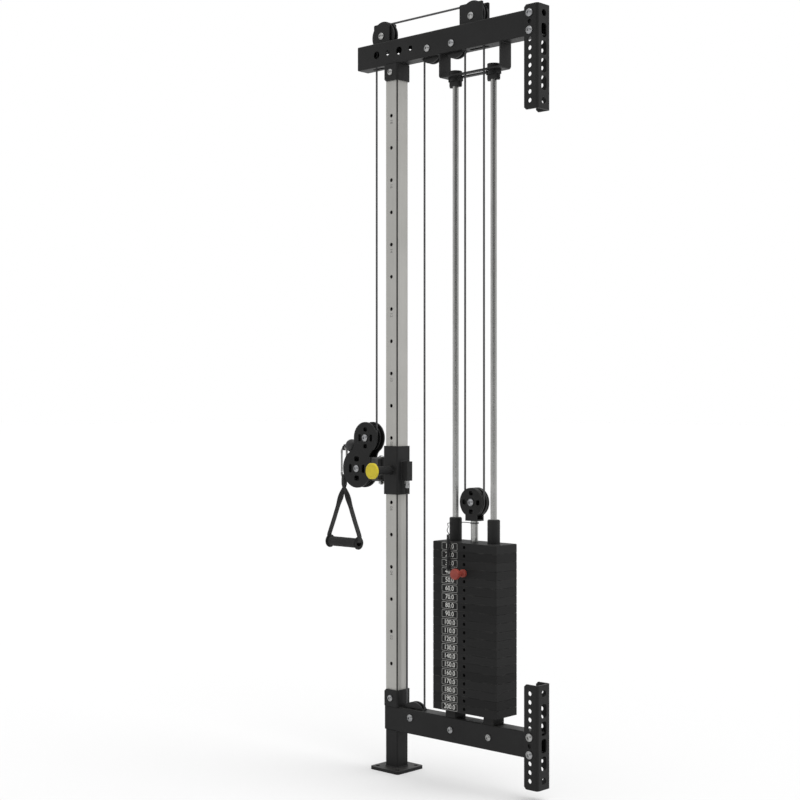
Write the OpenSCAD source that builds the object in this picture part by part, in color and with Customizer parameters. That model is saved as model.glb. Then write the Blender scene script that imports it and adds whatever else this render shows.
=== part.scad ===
// Wall pulley weight stack: a pin-loaded plate stack between two arms, a column with a sliding
// swivel pulley, and one cable from the handle over the top pulleys, round the stack and back
// to the trolley. X runs from the column towards the wall brackets, Y away from the
// selector side, Z up. The origin is the middle of the foot plate's underside.

/* [Column] */
// Outside width of the square column tube
column_size = 50.8; // [40:0.1:60]
// Wall of the column tube
column_wall = 3; // [2:0.5:5]
// Outside corner radius of the column tube
column_corner = 4.5; // [3.5:0.5:8]
// Length of the column between the two arms
column_l = 2023.8; // [1700:0.1:2200]
// Distance between neighbouring height holes
hole_pitch = 101.6; // [80:0.1:105]
// Number of height holes
hole_count = 18; // [14:1:18]
// Diameter of a height hole
hole_d = 12; // [11.2:0.1:16]
// Height of the lowest hole above the column's foot
first_hole_rise = 134.1; // [110:0.1:160]
// Hole at which the trolley stands, counted from the lowest as 0
rest_hole = 6; // [4:1:9]

/* [Foot] */
// Side of the square foot plate
foot_size = 120; // [100:1:160]
// Thickness of the foot plate
foot_t = 10; // [6:0.5:16]
// Corner radius of the foot plate
foot_corner = 9; // [4:1:20]
// Distance between neighbouring floor-bolt holes
foot_bolt_pitch = 85; // [76:1:92]
// Diameter of a floor-bolt hole
foot_bolt_d = 13; // [8:0.5:16]
// Length of the post between foot plate and lower arm
post_h = 115.2; // [90:0.1:160]

/* [Arms] */
// Width of the arm tubes across the machine
arm_w = 50.8; // [50.8:0.1:60]
// Height of the arm tubes
arm_h = 76.2; // [74:0.1:90]
// Wall of the arm tubes
arm_wall = 3; // [2:0.5:4]
// Outside corner radius of the arm tubes
arm_corner = 4; // [3:0.5:6]
// Distance from the column's axis to the arms' wall ends
arm_reach = 580; // [560:1:620]
// Distance that the upper arm stands out in front of the column's axis
arm_overhang = 146; // [140:1:180]
// Diameter of the large round holes in the upper arm's sides
big_side_hole_d = 25; // [16:0.5:30]
// Diameter of the small round holes in the upper arm's sides
small_side_hole_d = 16; // [8:0.5:20]
// Distance between neighbouring side holes
side_hole_pitch = 48.8; // [40:0.1:50]

/* [Collars] */
// Height of the folded collars that hold the column's ends
collar_h = 52.5; // [40:1:60]
// Plate thickness of the folded collars
collar_t = 4.8; // [3:0.1:5]
// Distance of the collar bolts from the arm they stand on
collar_bolt_rise = 26; // [16:0.1:30]

/* [Wall brackets] */
// Distance between neighbouring bracket holes
bracket_pitch = 25.4; // [24:0.1:26]
// Number of bracket holes, each bracket being one pitch longer than their row
bracket_holes = 11; // [11:1:13]
// Plate thickness of the wall brackets
bracket_t = 4.8; // [3:0.1:6]
// Depth of the bracket's flanges
bracket_depth = 49.5; // [44:1:60]
// Gap between a bracket's flange and the arm
bracket_gap = 0.2; // [0.1:0.05:0.3]
// Diameter of the flange holes
flange_hole_d = 14; // [13:0.5:17]
// Distance of the flange holes from the flange's free edge
flange_hole_edge = 19.8; // [16:0.5:24]
// Diameter of the wall-bolt holes in the bracket's web
wall_hole_d = 21; // [12:0.5:24]
// Height of the slots in the bracket's web
web_slot_h = 42; // [30:1:46]
// Hole of the upper bracket that lines up with the upper arm's middle
upper_bracket_hole = 10; // [9:1:10]
// Hole of the lower bracket that lines up with the lower arm's middle
lower_bracket_hole = 5; // [3:1:6]

/* [Pulleys and cable] */
// Diameter of the coated steel cable
cable_d = 5.5; // [4:0.1:6]
// Height of a pulley's rim above the cable's middle
pulley_rim = 9.9; // [6:0.1:10]
// Height of the stack pulley's rim above the cable's middle
stack_rim = 6.8; // [5:0.1:7]
// Radius of the cable's middle on the two top pulleys
top_r = 37.3; // [34:0.1:39]
// Radius of the cable's middle on the two pulleys inside the upper arm
inner_r = 33.6; // [31:0.1:34]
// Radius of the cable's middle on the pulley in the lower arm
lower_r = 37.3; // [34:0.1:38]
// Radius of the cable's middle on the stack's pulley
stack_r = 37.2; // [34:0.1:39]
// Radius of the cable's middle on the swivel block's upper pulley
block_upper_r = 33.3; // [31:0.1:35]
// Radius of the cable's middle on the swivel block's lower pulley
block_lower_r = 46; // [38:0.1:48]
// Width of the pulley rims
pulley_w = 20; // [16:0.5:22]
// Diameter of the pulley axle bolts
axle_d = 12; // [8:0.5:12]
// Distance of the front top pulley's axle in front of the column's axis
front_pulley_back = 51; // [46:0.1:60]
// Distance of the top pulleys' axles above the upper arm
top_pulley_rise = 21.5; // [18:0.1:28]
// Distance from the column's axis to the first pulley inside the upper arm
inner_front_x = 151.9; // [146:0.1:160]
// Distance of the arm pulleys' axles from the arm's middle height
axle_drop = 12.7; // [10:0.1:14]
// Length of the front top pulley's cheek plates
front_cheek_l = 66; // [50:1:76]
// Length of the rear top pulley's cheek plates
rear_cheek_l = 90; // [60:1:96]
// Height of the top pulleys' cheek plates
top_cheek_h = 60; // [40:1:64]
// Thickness of all pulley cheek plates
cheek_t = 4.8; // [3:0.1:5]

/* [Weight stack] */
// Distance from the column's axis to the middle of the stack
stack_x = 321.6; // [315:0.1:330]
// Length of a weight plate
plate_l = 250; // [230:1:260]
// Depth of a weight plate
plate_w = 98; // [84:1:110]
// Thickness of a weight plate
plate_t = 25.4; // [20:0.1:28]
// Gap between neighbouring plates
plate_gap = 0.1; // [0.05:0.05:0.2]
// Number of weight plates with the head plate
plate_count = 20; // [12:1:20]
// Plates that the selector pin lifts
lifted_count = 4; // [2:1:10]
// Distance between the guide rods
rod_spacing = 150; // [140:0.1:170]
// Diameter of the guide rods
rod_d = 19; // [16:0.5:22]
// Diameter of the lifting stem
stem_d = 22; // [18:0.5:24]
// Diameter of the selector pin
pin_d = 9.5; // [8:0.1:10]
// Clearance round the selector pin in its hole
pin_clear = 0.75; // [0.5:0.05:1]
// Outside diameter of the guide sleeves on the head plate
sleeve_d = 38; // [30:0.5:44]
// Height of the guide sleeves
sleeve_h = 72; // [40:1:90]
// Clearance between a guide sleeve and its rod
sleeve_clear = 0.3; // [0.2:0.05:0.5]
// Height of the rubber bumpers under the stack
bumper_h = 25.8; // [16:0.1:34]
// Length of the rubber bumpers along the arm
bumper_l = 40; // [30:0.1:50]
// Height of the stack pulley's axle above the head plate
stack_pulley_rise = 121; // [115:0.1:140]
// Radius of the stack pulley's round cheeks
stack_cheek_r = 44; // [42:0.1:48]

/* [Rod hanger] */
// Length of the rod hanger along the arm
hanger_l = 243; // [225:1:260]
// Height of the rod hanger under the upper arm
hanger_h = 75; // [60:1:95]
// Plate thickness of the rod hanger
hanger_t = 5; // [3:0.1:6]

/* [Trolley] */
// Outside width of the trolley's sleeve
sleeve_outer = 60.4; // [60:0.1:66]
// Height of the trolley's sleeve
trolley_h = 152.4; // [140:1:175]
// Clearance between the plastic liners and the column
liner_clear = 0.3; // [0.2:0.05:0.5]
// Wall of the trolley's sleeve
trolley_wall = 3; // [2:0.5:3]
// Diameter of the pop pin's plunger
plunger_d = 11; // [8:0.1:11]
// Travel of the pop pin into a height hole
plunger_travel = 10; // [8:0.5:12]
// Diameter of the pop pin's knob
knob_d = 51; // [44:1:60]
// Distance of the knob's middle from the column's axis
knob_reach = 112; // [106:1:125]

/* [Swivel block] */
// Distance of the swivel's pin in front of the column's axis
hinge_back = 67.6; // [60:0.1:70]
// Distance of the block's lower axle in front of the column's axis
block_lower_back = 160; // [155:0.1:170]
// Height of the block's upper axle over its lower one
block_axle_rise = 99.6; // [96:0.1:110]
// Radius of the cheeks round the upper pulley
upper_cheek_r = 51; // [46:0.5:54]
// Radius of the cheeks round the lower pulley
lower_cheek_r = 62; // [58:0.5:64]
// Outside width of the block over its cheeks
block_w = 39; // [36:0.5:42]
// Diameter of the swivel's pin
hinge_pin_d = 10; // [8:0.5:12]

/* [Handle] */
// Diameter of the ball stop
ball_d = 42; // [34:1:48]
// Distance of the ball's middle in front of the column's axis
ball_back = 200.7; // [198:0.1:215]
// Height of the ball's middle above the trolley's hole
ball_rise = 72.7; // [66:0.1:76]
// Length of the carabiner
carabiner_l = 102; // [80:1:120]
// Width of the carabiner
carabiner_w = 30; // [28:1:44]
// Wire diameter of the carabiner
carabiner_d = 7; // [5:0.5:9]
// Length of the handle's grip
grip_l = 122; // [100:1:135]
// Diameter of the handle's grip
grip_d = 31; // [30:0.5:38]
// Diameter of the flanged caps at the handle's ends
cap_d = 42; // [34:1:48]
// Width of the handle's webbing
strap_w = 19; // [14:1:30]
// Thickness of the handle's webbing
strap_t = 3; // [2:0.5:4]
// Distance of the carabiner's middle from the ball's middle
carabiner_reach = 35.3; // [34:0.1:45]
// Height of the webbing's neck above the grip's axis
strap_drop = 219; // [160:1:240]

/* [Hidden] */

// Colours
black = [0.17, 0.17, 0.17];
steel = [0.66, 0.65, 0.64];
zinc = [0.8, 0.8, 0.8];
rubber = [0.1, 0.1, 0.1];
yellow = [0.78, 0.72, 0.22];
red = [0.72, 0.3, 0.27];
cable_grey = [0.25, 0.25, 0.26];

// Small fits shared by many pieces
eps = 0.05;
bolt_clear = 0.25;
axle_clear = 0.05;
side_play = 0.3;
round_fn = 64;
small_fn = 32;

// Heights
lower_arm_z = foot_t + post_h;
lower_arm_mid = lower_arm_z + arm_h / 2;
column_z = lower_arm_z + arm_h;
upper_arm_z = column_z + column_l;
upper_arm_mid = upper_arm_z + arm_h / 2;
upper_arm_top = upper_arm_z + arm_h;
rest_z = column_z + first_hole_rise + rest_hole * hole_pitch;

// Pulley places and the straight cable runs that touch them
cable_r = cable_d / 2;
groove_r = cable_r + 0.3;
front_run_x = -front_pulley_back - top_r;
top_pulley_z = upper_arm_top + top_pulley_rise;
stack_front_run_x = stack_x - stack_r;
stack_rear_run_x = stack_x + stack_r;
rear_pulley_x = stack_rear_run_x - top_r;
inner_rear_x = stack_front_run_x - inner_r;
inner_z = upper_arm_mid - axle_drop;
down_run_x = inner_front_x - inner_r;
lower_pulley_x = down_run_x - lower_r;
return_run_x = lower_pulley_x - lower_r;
lower_pulley_z = lower_arm_mid + axle_drop;
hub_half = pulley_w / 2 + 2;
cheek_in = hub_half + side_play;
cheek_out = cheek_in + cheek_t;

// Stack places
stack_z = column_z + bumper_h;
plate_step = plate_t + plate_gap;
stack_top = stack_z + plate_count * plate_step - plate_gap;
stack_pulley_z = stack_top + stack_pulley_rise;
stem_bottom = stack_z + 6;
select_z = stack_top - (lifted_count - 0.5) * plate_step + plate_gap / 2;
select_hole_d = pin_d + 2 * pin_clear;
select_hole_depth = plate_w / 2 + 20;
block_base_z = stack_top + 65;
block_base_t = 5;
rod_x = [stack_x - rod_spacing / 2, stack_x + rod_spacing / 2];
rod_bottom = lower_arm_mid - 16;
hanger_z = upper_arm_z - hanger_h;
rod_cap_h = 13.5;
rod_top = hanger_z + hanger_t + rod_cap_h;
plate_hole_d = rod_d + 2;
stem_hole_d = stem_d + 4;

// Trolley places
liner_in = column_size / 2 + liner_clear;
sleeve_half = sleeve_outer / 2;
sleeve_in = sleeve_half - trolley_wall;
liner_h = 40;
trolley_z = rest_z - trolley_h / 2;
housing_d = 27;
knob_half = 6;
housing_end = knob_reach - knob_half - plunger_travel - 1;
neck_d = 20;
bore_wall = 5;
anchor_w = 23;
anchor_h = 60.6;
anchor_z = rest_z - 32.5;
anchor_l = return_run_x - sleeve_half + 12.3;
stud_end_z = anchor_z - 23;
ferrule_l = 15.5;
return_top_z = stud_end_z - ferrule_l;

// Swivel block places
block_upper_x = front_run_x - block_upper_r;
block_upper_z = rest_z + block_axle_rise;
block_lower_x = -block_lower_back;
hinge_x = -hinge_back;
block_out = block_w / 2;
block_in = block_out - cheek_t;
barrel_half = 32.5;
yoke_t = 5;
yoke_half = barrel_half + side_play;
yoke_w = 2 * block_in;
yoke_web_x = block_lower_x + block_lower_r + pulley_rim + 1;
block_hub_half = block_in - side_play;
block_cable_top = block_upper_z + upper_cheek_r + 9;

// Cable from the block's upper pulley to the ball
ball_x = -ball_back;
ball_z = rest_z + ball_rise;
ball_dx = block_upper_x - ball_x;
ball_dz = block_upper_z - ball_z;
ball_dist = sqrt(ball_dx * ball_dx + ball_dz * ball_dz);
lead_angle = asin(block_upper_r / ball_dist) - atan2(ball_dz, ball_dx);
lead_l = sqrt(ball_dist * ball_dist - block_upper_r * block_upper_r);

// Handle places
carabiner_x = ball_x - carabiner_reach;
carabiner_bend = carabiner_w / 2 - carabiner_d / 2;
carabiner_top = ball_z - 5;
carabiner_bottom = carabiner_top - carabiner_l;
bend_top_z = carabiner_top - carabiner_w / 2;
bend_low_z = carabiner_bottom + carabiner_w / 2;
neck_half = 6;
bend_inner = carabiner_bend - carabiner_d / 2;
neck_ceiling = bend_low_z - sqrt(bend_inner * bend_inner - neck_half * neck_half) + 0.3;
handle_x = carabiner_x;
handle_z = neck_ceiling - strap_drop;
core_d = 26;
core_wall = 2.3;
cap_l = 5;
cap_gap = 2;
core_l = grip_l + 2 * (cap_gap + cap_l);
grip_clear = 0.1;
fork = strap_drop - 29;

// A filled rectangle with round corners
module round_rect(w, h, r) {
    square([w - 2 * r, h], center = true);
    square([w, h - 2 * r], center = true);
    for (sx = [-1, 1], sy = [-1, 1])
        translate([sx * (w / 2 - r), sy * (h / 2 - r)]) circle(r = r, $fn = small_fn);
}

// A rectangular tube profile
module tube_profile(w, h, wall, r) {
    difference() {
        round_rect(w, h, r);
        round_rect(w - 2 * wall, h - 2 * wall, max(r - wall, 0.6));
    }
}

// A cylinder along Y, centred on its own middle
module y_rod(d, l) {
    rotate([90, 0, 0]) cylinder(d = d, h = l, center = true, $fn = round_fn);
}

// A plate in the XZ plane, its thickness centred on y
module y_plate(y, t) {
    translate([0, y + t / 2, 0]) rotate([90, 0, 0]) linear_extrude(t) children();
}

// A low domed bolt head with a hexagon socket: a flange under a crown, standing on z = 0
module dome_head(d, h) {
    flange_h = 0.35 * h;
    crown_h = h - flange_h;
    crown_d = 0.9 * d;
    crown_r = (crown_d * crown_d / 4 + crown_h * crown_h) / (2 * crown_h);
    difference() {
        union() {
            cylinder(d = d, h = flange_h, $fn = round_fn);
            translate([0, 0, flange_h]) intersection() {
                translate([0, 0, crown_h - crown_r]) sphere(r = crown_r, $fn = round_fn);
                cylinder(d = crown_d, h = h, $fn = round_fn);
            }
        }
        translate([0, 0, 0.5 * h]) cylinder(d = 0.45 * d, h = h, $fn = 6);
    }
}

// A hexagon nut with its bore filled by the bolt, standing on z = 0
module hex_piece(af, h) {
    cylinder(d = af / cos(30), h = h, $fn = 6);
}

// A bolt along Y: domed head on the selector side, nut on the far side
module y_bolt(d, head_d, head_h, half_grip, nut_af, nut_h) {
    translate([0, -half_grip, 0]) rotate([90, 0, 0]) dome_head(head_d, head_h);
    y_rod(d, 2 * half_grip);
    translate([0, half_grip, 0]) rotate([-90, 0, 0]) hex_piece(nut_af, nut_h);
    translate([0, half_grip + nut_h, 0]) rotate([-90, 0, 0])
        cylinder(d = d, h = 3, $fn = round_fn);
}

// A hexagon-head bolt along Y with washers under head and nut
module y_hex_bolt(d, half_grip, af, head_h) {
    for (s = [-1, 1]) {
        translate([0, s * half_grip, 0]) rotate([-s * 90, 0, 0]) {
            cylinder(d = af * 1.25, h = 2, $fn = round_fn);
            translate([0, 0, 2]) hex_piece(af, head_h);
        }
    }
    y_rod(d, 2 * half_grip);
}

// Radius of the ball race pressed into each pulley
race_r = 14;
race_w = 8;

// A grooved pulley about Y with hub and thinner web, and its ball race as a separate ring
module pulley(pitch_r, hub, rim) {
    rim_r = pitch_r + rim;
    web_w = 8;
    rotate([90, 0, 0]) {
        rotate_extrude($fn = 96) difference() {
            union() {
                translate([pitch_r - groove_r - 6, -pulley_w / 2])
                    square([rim_r - pitch_r + groove_r + 6, pulley_w]);
                translate([race_r + eps, -web_w / 2]) square([rim_r - race_r - 10, web_w]);
                translate([race_r + eps, -hub]) square([5, 2 * hub]);
            }
            hull() {
                translate([pitch_r, 0]) circle(r = groove_r, $fn = small_fn);
                translate([rim_r + 3, 0]) circle(r = groove_r + 2.5, $fn = small_fn);
            }
        }
        rotate_extrude($fn = round_fn)
            translate([axle_d / 2 + axle_clear, -hub]) square([race_r - axle_d / 2 - axle_clear, 2 * hub]);
    }
}

// An arc of cable in the XZ plane about the origin, from angle a0 over a1 degrees, 0 along +X
module cable_arc(r, a0, a1) {
    rotate([90, 0, 0]) rotate([0, 0, a0]) rotate_extrude(angle = a1 - a0, $fn = 96)
        translate([r, 0]) circle(r = cable_r, $fn = small_fn);
}

// A straight vertical cable
module cable_drop(x, z0, z1) {
    translate([x, 0, z0]) cylinder(r = cable_r, h = z1 - z0, $fn = small_fn);
}

// A straight cable along X at height z
module cable_level(x0, x1, z) {
    translate([x0, 0, z]) rotate([0, 90, 0]) cylinder(r = cable_r, h = x1 - x0, $fn = small_fn);
}

module foot_plate() {
    color(black) difference() {
        linear_extrude(foot_t) round_rect(foot_size, foot_size, foot_corner);
        for (sx = [-1, 1], sy = [-1, 1])
            translate([sx * foot_bolt_pitch / 2, sy * foot_bolt_pitch / 2, -1])
                cylinder(d = foot_bolt_d, h = foot_t + 2, $fn = round_fn);
    }
}

module foot_post() {
    color(black) translate([0, 0, foot_t])
        linear_extrude(post_h) tube_profile(column_size, column_size, column_wall, column_corner);
}

// An arm tube along X from x0 to x1 with its underside at z
module arm_tube(x0, x1, z) {
    translate([x0, 0, z + arm_h / 2]) rotate([90, 0, 90]) linear_extrude(x1 - x0)
        tube_profile(arm_w, arm_h, arm_wall, arm_corner);
}

// A slot through one wall of an arm, from x0 to x1, w wide, at height z
module wall_slot(x0, x1, w, z) {
    translate([(x0 + x1) / 2, 0, z - arm_wall]) linear_extrude(2 * arm_wall)
        round_rect(x1 - x0, w, 3);
}

function chord(r, h) = sqrt(max(r * r - h * h, 1));

pulley_slot_w = 2 * hub_half + 2;
cable_slot_w = cable_d + 8;

module upper_arm() {
    top_half = chord(top_r + pulley_rim, top_pulley_rise) + 4;
    inner_half = chord(inner_r + pulley_rim, inner_z - upper_arm_z) + 4;
    color(black) difference() {
        arm_tube(-arm_overhang, arm_reach, upper_arm_z);
        for (x = [-front_pulley_back, rear_pulley_x])
            wall_slot(x - top_half, x + top_half, pulley_slot_w, upper_arm_top);
        for (x = [inner_front_x, inner_rear_x])
            wall_slot(x - inner_half, x + inner_half, pulley_slot_w, upper_arm_z);
        wall_slot(front_run_x - 14, front_run_x + 36, cable_slot_w, upper_arm_z);
        wall_slot(stack_rear_run_x - 54, stack_rear_run_x + 20, cable_slot_w, upper_arm_z);
        for (i = [0 : 3])
            translate([i * side_hole_pitch - 65.2, 0, upper_arm_mid])
                y_rod(i % 2 == 0 ? big_side_hole_d : small_side_hole_d, arm_w + 2);
        for (x = [inner_front_x, inner_rear_x])
            translate([x, 0, inner_z]) y_rod(axle_d + 2 * axle_clear, arm_w + 2);
        arm_bolt_holes(upper_arm_mid);
    }
}

// The two bracket bolts' holes near an arm's wall end
module arm_bolt_holes(mid) {
    for (s = [-1, 1])
        translate([flange_hole_x, 0, mid + s * bracket_pitch])
            y_rod(bracket_bolt_d + 2 * bolt_clear, arm_w + 2);
}

bracket_bolt_d = 12;
bracket_out = arm_w / 2 + bracket_gap + bracket_t;
bracket_face_x = arm_reach + bracket_gap + bracket_t;
bracket_free_x = bracket_face_x - bracket_depth;
flange_hole_x = bracket_free_x + flange_hole_edge;
bracket_l = (bracket_holes + 1) * bracket_pitch;

module lower_arm() {
    slot_half = chord(lower_r + pulley_rim, column_z - lower_pulley_z) + 4;
    color(black) difference() {
        arm_tube(-column_size / 2, arm_reach, lower_arm_z);
        wall_slot(lower_pulley_x - slot_half, lower_pulley_x + slot_half, pulley_slot_w, column_z);
        translate([lower_pulley_x, 0, lower_pulley_z]) y_rod(axle_d + 2 * axle_clear, arm_w + 2);
        for (x = rod_x) {
            translate([x, 0, column_z - 2 * arm_wall])
                cylinder(d = rod_d + 0.4, h = 3 * arm_wall, $fn = round_fn);
            translate([x, 0, lower_arm_mid]) y_rod(cross_bolt_d + 2 * bolt_clear, arm_w + 2);
        }
        arm_bolt_holes(lower_arm_mid);
    }
}

cross_bolt_d = 8;

// A folded collar round three sides of the column, standing on z = 0
module collar() {
    out = column_size / 2 + bracket_gap + collar_t;
    bend = collar_t + 2;
    difference() {
        linear_extrude(collar_h) difference() {
            union() {
                translate([-column_size / 2, -out]) square([out + column_size / 2 - bend, 2 * out]);
                translate([0, bend - out]) square([out, 2 * (out - bend)]);
                for (s = [-1, 1])
                    translate([out - bend, s * (out - bend)]) circle(r = bend, $fn = round_fn);
            }
            translate([-column_size / 2 - 1, collar_t - out])
                square([out + column_size / 2 + 1 - collar_t, 2 * (out - collar_t)]);
        }
        translate([0, 0, collar_bolt_rise]) y_rod(cross_bolt_d + 2 * bolt_clear, 3 * column_size);
        translate([-column_size / 2, 0, collar_h]) rotate([0, 45, 0])
            cube([9, 3 * column_size, 9], center = true);
    }
}

module column_collars() {
    color(black) {
        translate([0, 0, column_z]) collar();
        translate([0, 0, upper_arm_z]) mirror([0, 0, 1]) collar();
    }
}

module column() {
    color(steel) difference() {
        translate([0, 0, column_z]) linear_extrude(column_l)
            tube_profile(column_size, column_size, column_wall, column_corner);
        for (i = [0 : hole_count - 1])
            translate([0, -column_size / 2, column_z + first_hole_rise + i * hole_pitch])
                y_rod(hole_d, 4 * column_wall);
        for (z = [column_z + collar_bolt_rise, upper_arm_z - collar_bolt_rise])
            translate([0, 0, z]) y_rod(cross_bolt_d + 2 * bolt_clear, column_size + 2);
    }
}

module arm_end_plugs() {
    in_w = arm_w - 2 * arm_wall - 2 * eps;
    in_h = arm_h - 2 * arm_wall - 2 * eps;
    color(rubber) for (end = [[-arm_overhang, upper_arm_mid], [-column_size / 2, lower_arm_mid]])
        translate([end[0], 0, end[1]]) rotate([90, 0, 90]) {
            linear_extrude(16) tube_profile(in_w, in_h, 2.5, arm_corner - arm_wall + 0.6);
            translate([0, 0, -2.5]) linear_extrude(2.5) round_rect(arm_w, arm_h, arm_corner);
            linear_extrude(2) round_rect(in_w, in_h, arm_corner - arm_wall + 0.6);
        }
}

// A folded wall bracket, its foot at z = 0: flanges along X, web at the far end
module wall_bracket() {
    bend = bracket_t + 3;
    difference() {
        linear_extrude(bracket_l) difference() {
            union() {
                translate([bracket_free_x, -bracket_out])
                    square([bracket_depth - bend, 2 * bracket_out]);
                translate([bracket_free_x, bend - bracket_out])
                    square([bracket_depth, 2 * (bracket_out - bend)]);
                for (s = [-1, 1])
                    translate([bracket_face_x - bend, s * (bracket_out - bend)])
                        circle(r = bend, $fn = round_fn);
            }
            translate([bracket_free_x - 1, bracket_t - bracket_out])
                square([bracket_depth + 1 - bracket_t, 2 * (bracket_out - bracket_t)]);
        }
        for (i = [1 : bracket_holes])
            translate([flange_hole_x, 0, i * bracket_pitch]) y_rod(flange_hole_d, 3 * bracket_out);
        for (i = [1, bracket_holes])
            translate([bracket_face_x, 0, i * bracket_pitch]) rotate([0, 90, 0])
                cylinder(d = wall_hole_d, h = 4 * bracket_t, center = true, $fn = round_fn);
        for (i = [3 : 2 : bracket_holes - 2])
            translate([bracket_face_x, 0, i * bracket_pitch]) rotate([0, 90, 0])
                translate([0, 0, -2 * bracket_t]) linear_extrude(4 * bracket_t)
                    round_rect(web_slot_h, wall_hole_d + 3, 9);
        for (z = [0, bracket_l])
            translate([bracket_free_x, 0, z]) rotate([0, 45, 0])
                cube([10, 3 * bracket_out, 10], center = true);
    }
}

upper_bracket_z = upper_arm_mid - upper_bracket_hole * bracket_pitch;
lower_bracket_z = lower_arm_mid - lower_bracket_hole * bracket_pitch;

module wall_brackets() {
    color(black) {
        translate([0, 0, upper_bracket_z]) wall_bracket();
        translate([0, 0, lower_bracket_z]) wall_bracket();
    }
}

module bracket_bolts() {
    color(zinc) for (z = [upper_arm_mid, lower_arm_mid], s = [-1, 1])
        translate([flange_hole_x, 0, z + s * bracket_pitch])
            y_bolt(bracket_bolt_d, 23, 8, bracket_out, 19, 10);
}

module cross_bolts() {
    collar_grip = column_size / 2 + bracket_gap + collar_t;
    color(zinc) {
        for (z = [column_z + collar_bolt_rise, upper_arm_z - collar_bolt_rise])
            translate([0, 0, z]) y_bolt(cross_bolt_d, 19, 7, collar_grip, 13, 6.5);
        for (x = rod_x)
            translate([x, 0, lower_arm_mid]) y_bolt(cross_bolt_d, 19, 7, arm_w / 2, 13, 6.5);
    }
}

// The two cheek plates of a top pulley, standing on the upper arm
module top_bracket(x, l) {
    for (s = [-1, 1])
        y_plate(s * (cheek_in + cheek_t / 2), cheek_t) translate([x, upper_arm_top]) difference() {
            union() {
                translate([-l / 2, 0]) square([l, top_cheek_h - 4]);
                translate([4 - l / 2, 0]) square([l - 8, top_cheek_h]);
                for (c = [-1, 1])
                    translate([c * (l / 2 - 4), top_cheek_h - 4]) circle(r = 4, $fn = small_fn);
            }
            translate([0, top_pulley_rise]) circle(d = axle_d + 2 * axle_clear, $fn = round_fn);
        }
}

module front_pulley_bracket() {
    color(black) top_bracket(-front_pulley_back, front_cheek_l);
}

module rear_pulley_bracket() {
    color(black) top_bracket(rear_pulley_x, rear_cheek_l);
}

// Axle bolts of the five pulleys that the frame carries, with spacer tubes inside the arms
module pulley_axles() {
    arm_in = arm_w / 2 - arm_wall;
    color(zinc) {
        for (x = [-front_pulley_back, rear_pulley_x])
            translate([x, 0, top_pulley_z]) y_bolt(axle_d, 21, 7.5, cheek_out, 18, 8);
        for (p = [[inner_front_x, inner_z], [inner_rear_x, inner_z], [lower_pulley_x, lower_pulley_z]])
            translate([p[0], 0, p[1]]) {
                y_bolt(axle_d, 21, 7.5, arm_w / 2, 18, 8);
                for (s = [-1, 1])
                    translate([0, s * (hub_half + side_play + arm_in) / 2, 0]) difference() {
                        y_rod(axle_d + 6, arm_in - hub_half - side_play - 2 * eps);
                        y_rod(axle_d + 0.1, arm_w);
                    }
            }
    }
}

// The folded strap under the upper arm that carries the rods' upper ends
module rod_hanger() {
    bend = hanger_t + 4;
    hanger_w = arm_w - 1;
    color(black) difference() {
        translate([stack_x, hanger_w / 2, 0]) rotate([90, 0, 0]) linear_extrude(hanger_w) difference() {
            union() {
                translate([-hanger_l / 2, hanger_z + bend]) square([hanger_l, hanger_h - bend]);
                translate([bend - hanger_l / 2, hanger_z]) square([hanger_l - 2 * bend, hanger_h]);
                for (s = [-1, 1])
                    translate([s * (hanger_l / 2 - bend), hanger_z + bend]) circle(r = bend, $fn = round_fn);
            }
            translate([hanger_t - hanger_l / 2, hanger_z + hanger_t])
                square([hanger_l - 2 * hanger_t, hanger_h]);
        }
        translate([stack_x, 0, hanger_z - 1]) linear_extrude(hanger_t + 2)
            round_rect(rod_spacing + rod_d + 6, rod_d + 1, 8);
    }
}

module guide_rods() {
    color(steel) for (x = rod_x)
        difference() {
            translate([x, 0, rod_bottom]) cylinder(d = rod_d, h = rod_top - 1 - rod_bottom, $fn = round_fn);
            translate([x, 0, lower_arm_mid]) y_rod(cross_bolt_d + 2 * eps, 2 * rod_d);
        }
}

// Upper caps and lower split clamps that grip each rod on both sides of the hanger
module rod_clamps() {
    cap_d = 39;
    clamp_h = 13;
    ear_l = 30;
    color(black) for (x = rod_x) {
        translate([x, 0, hanger_z + hanger_t]) difference() {
            cylinder(d = cap_d, h = rod_cap_h, $fn = round_fn);
            translate([0, 0, -1]) cylinder(d = rod_d + 2 * eps, h = rod_cap_h, $fn = round_fn);
        }
        translate([x, 0, hanger_z - clamp_h]) difference() {
            union() {
                cylinder(d = 34, h = clamp_h, $fn = round_fn);
                translate([-22, -9, 0]) cube([44, 18, clamp_h]);
                for (s = [-1, 1])
                    translate([s * 16.5, 0, clamp_h - ear_l]) {
                        cylinder(d = 10, h = ear_l - clamp_h + 1, $fn = small_fn);
                        hex_piece(11, 8);
                    }
            }
            translate([0, 0, -1]) cylinder(d = rod_d + 2 * eps, h = clamp_h + 2, $fn = round_fn);
            translate([-1, 0, -1]) cube([2, 30, clamp_h + 2]);
        }
    }
}

module rubber_bumpers() {
    color(rubber) for (x = rod_x)
        translate([x, 0, column_z]) difference() {
            linear_extrude(bumper_h) round_rect(bumper_l, arm_w, 3);
            translate([0, 0, -1]) cylinder(d = rod_d + 2 * eps, h = bumper_h + 2, $fn = round_fn);
        }
}

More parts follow.
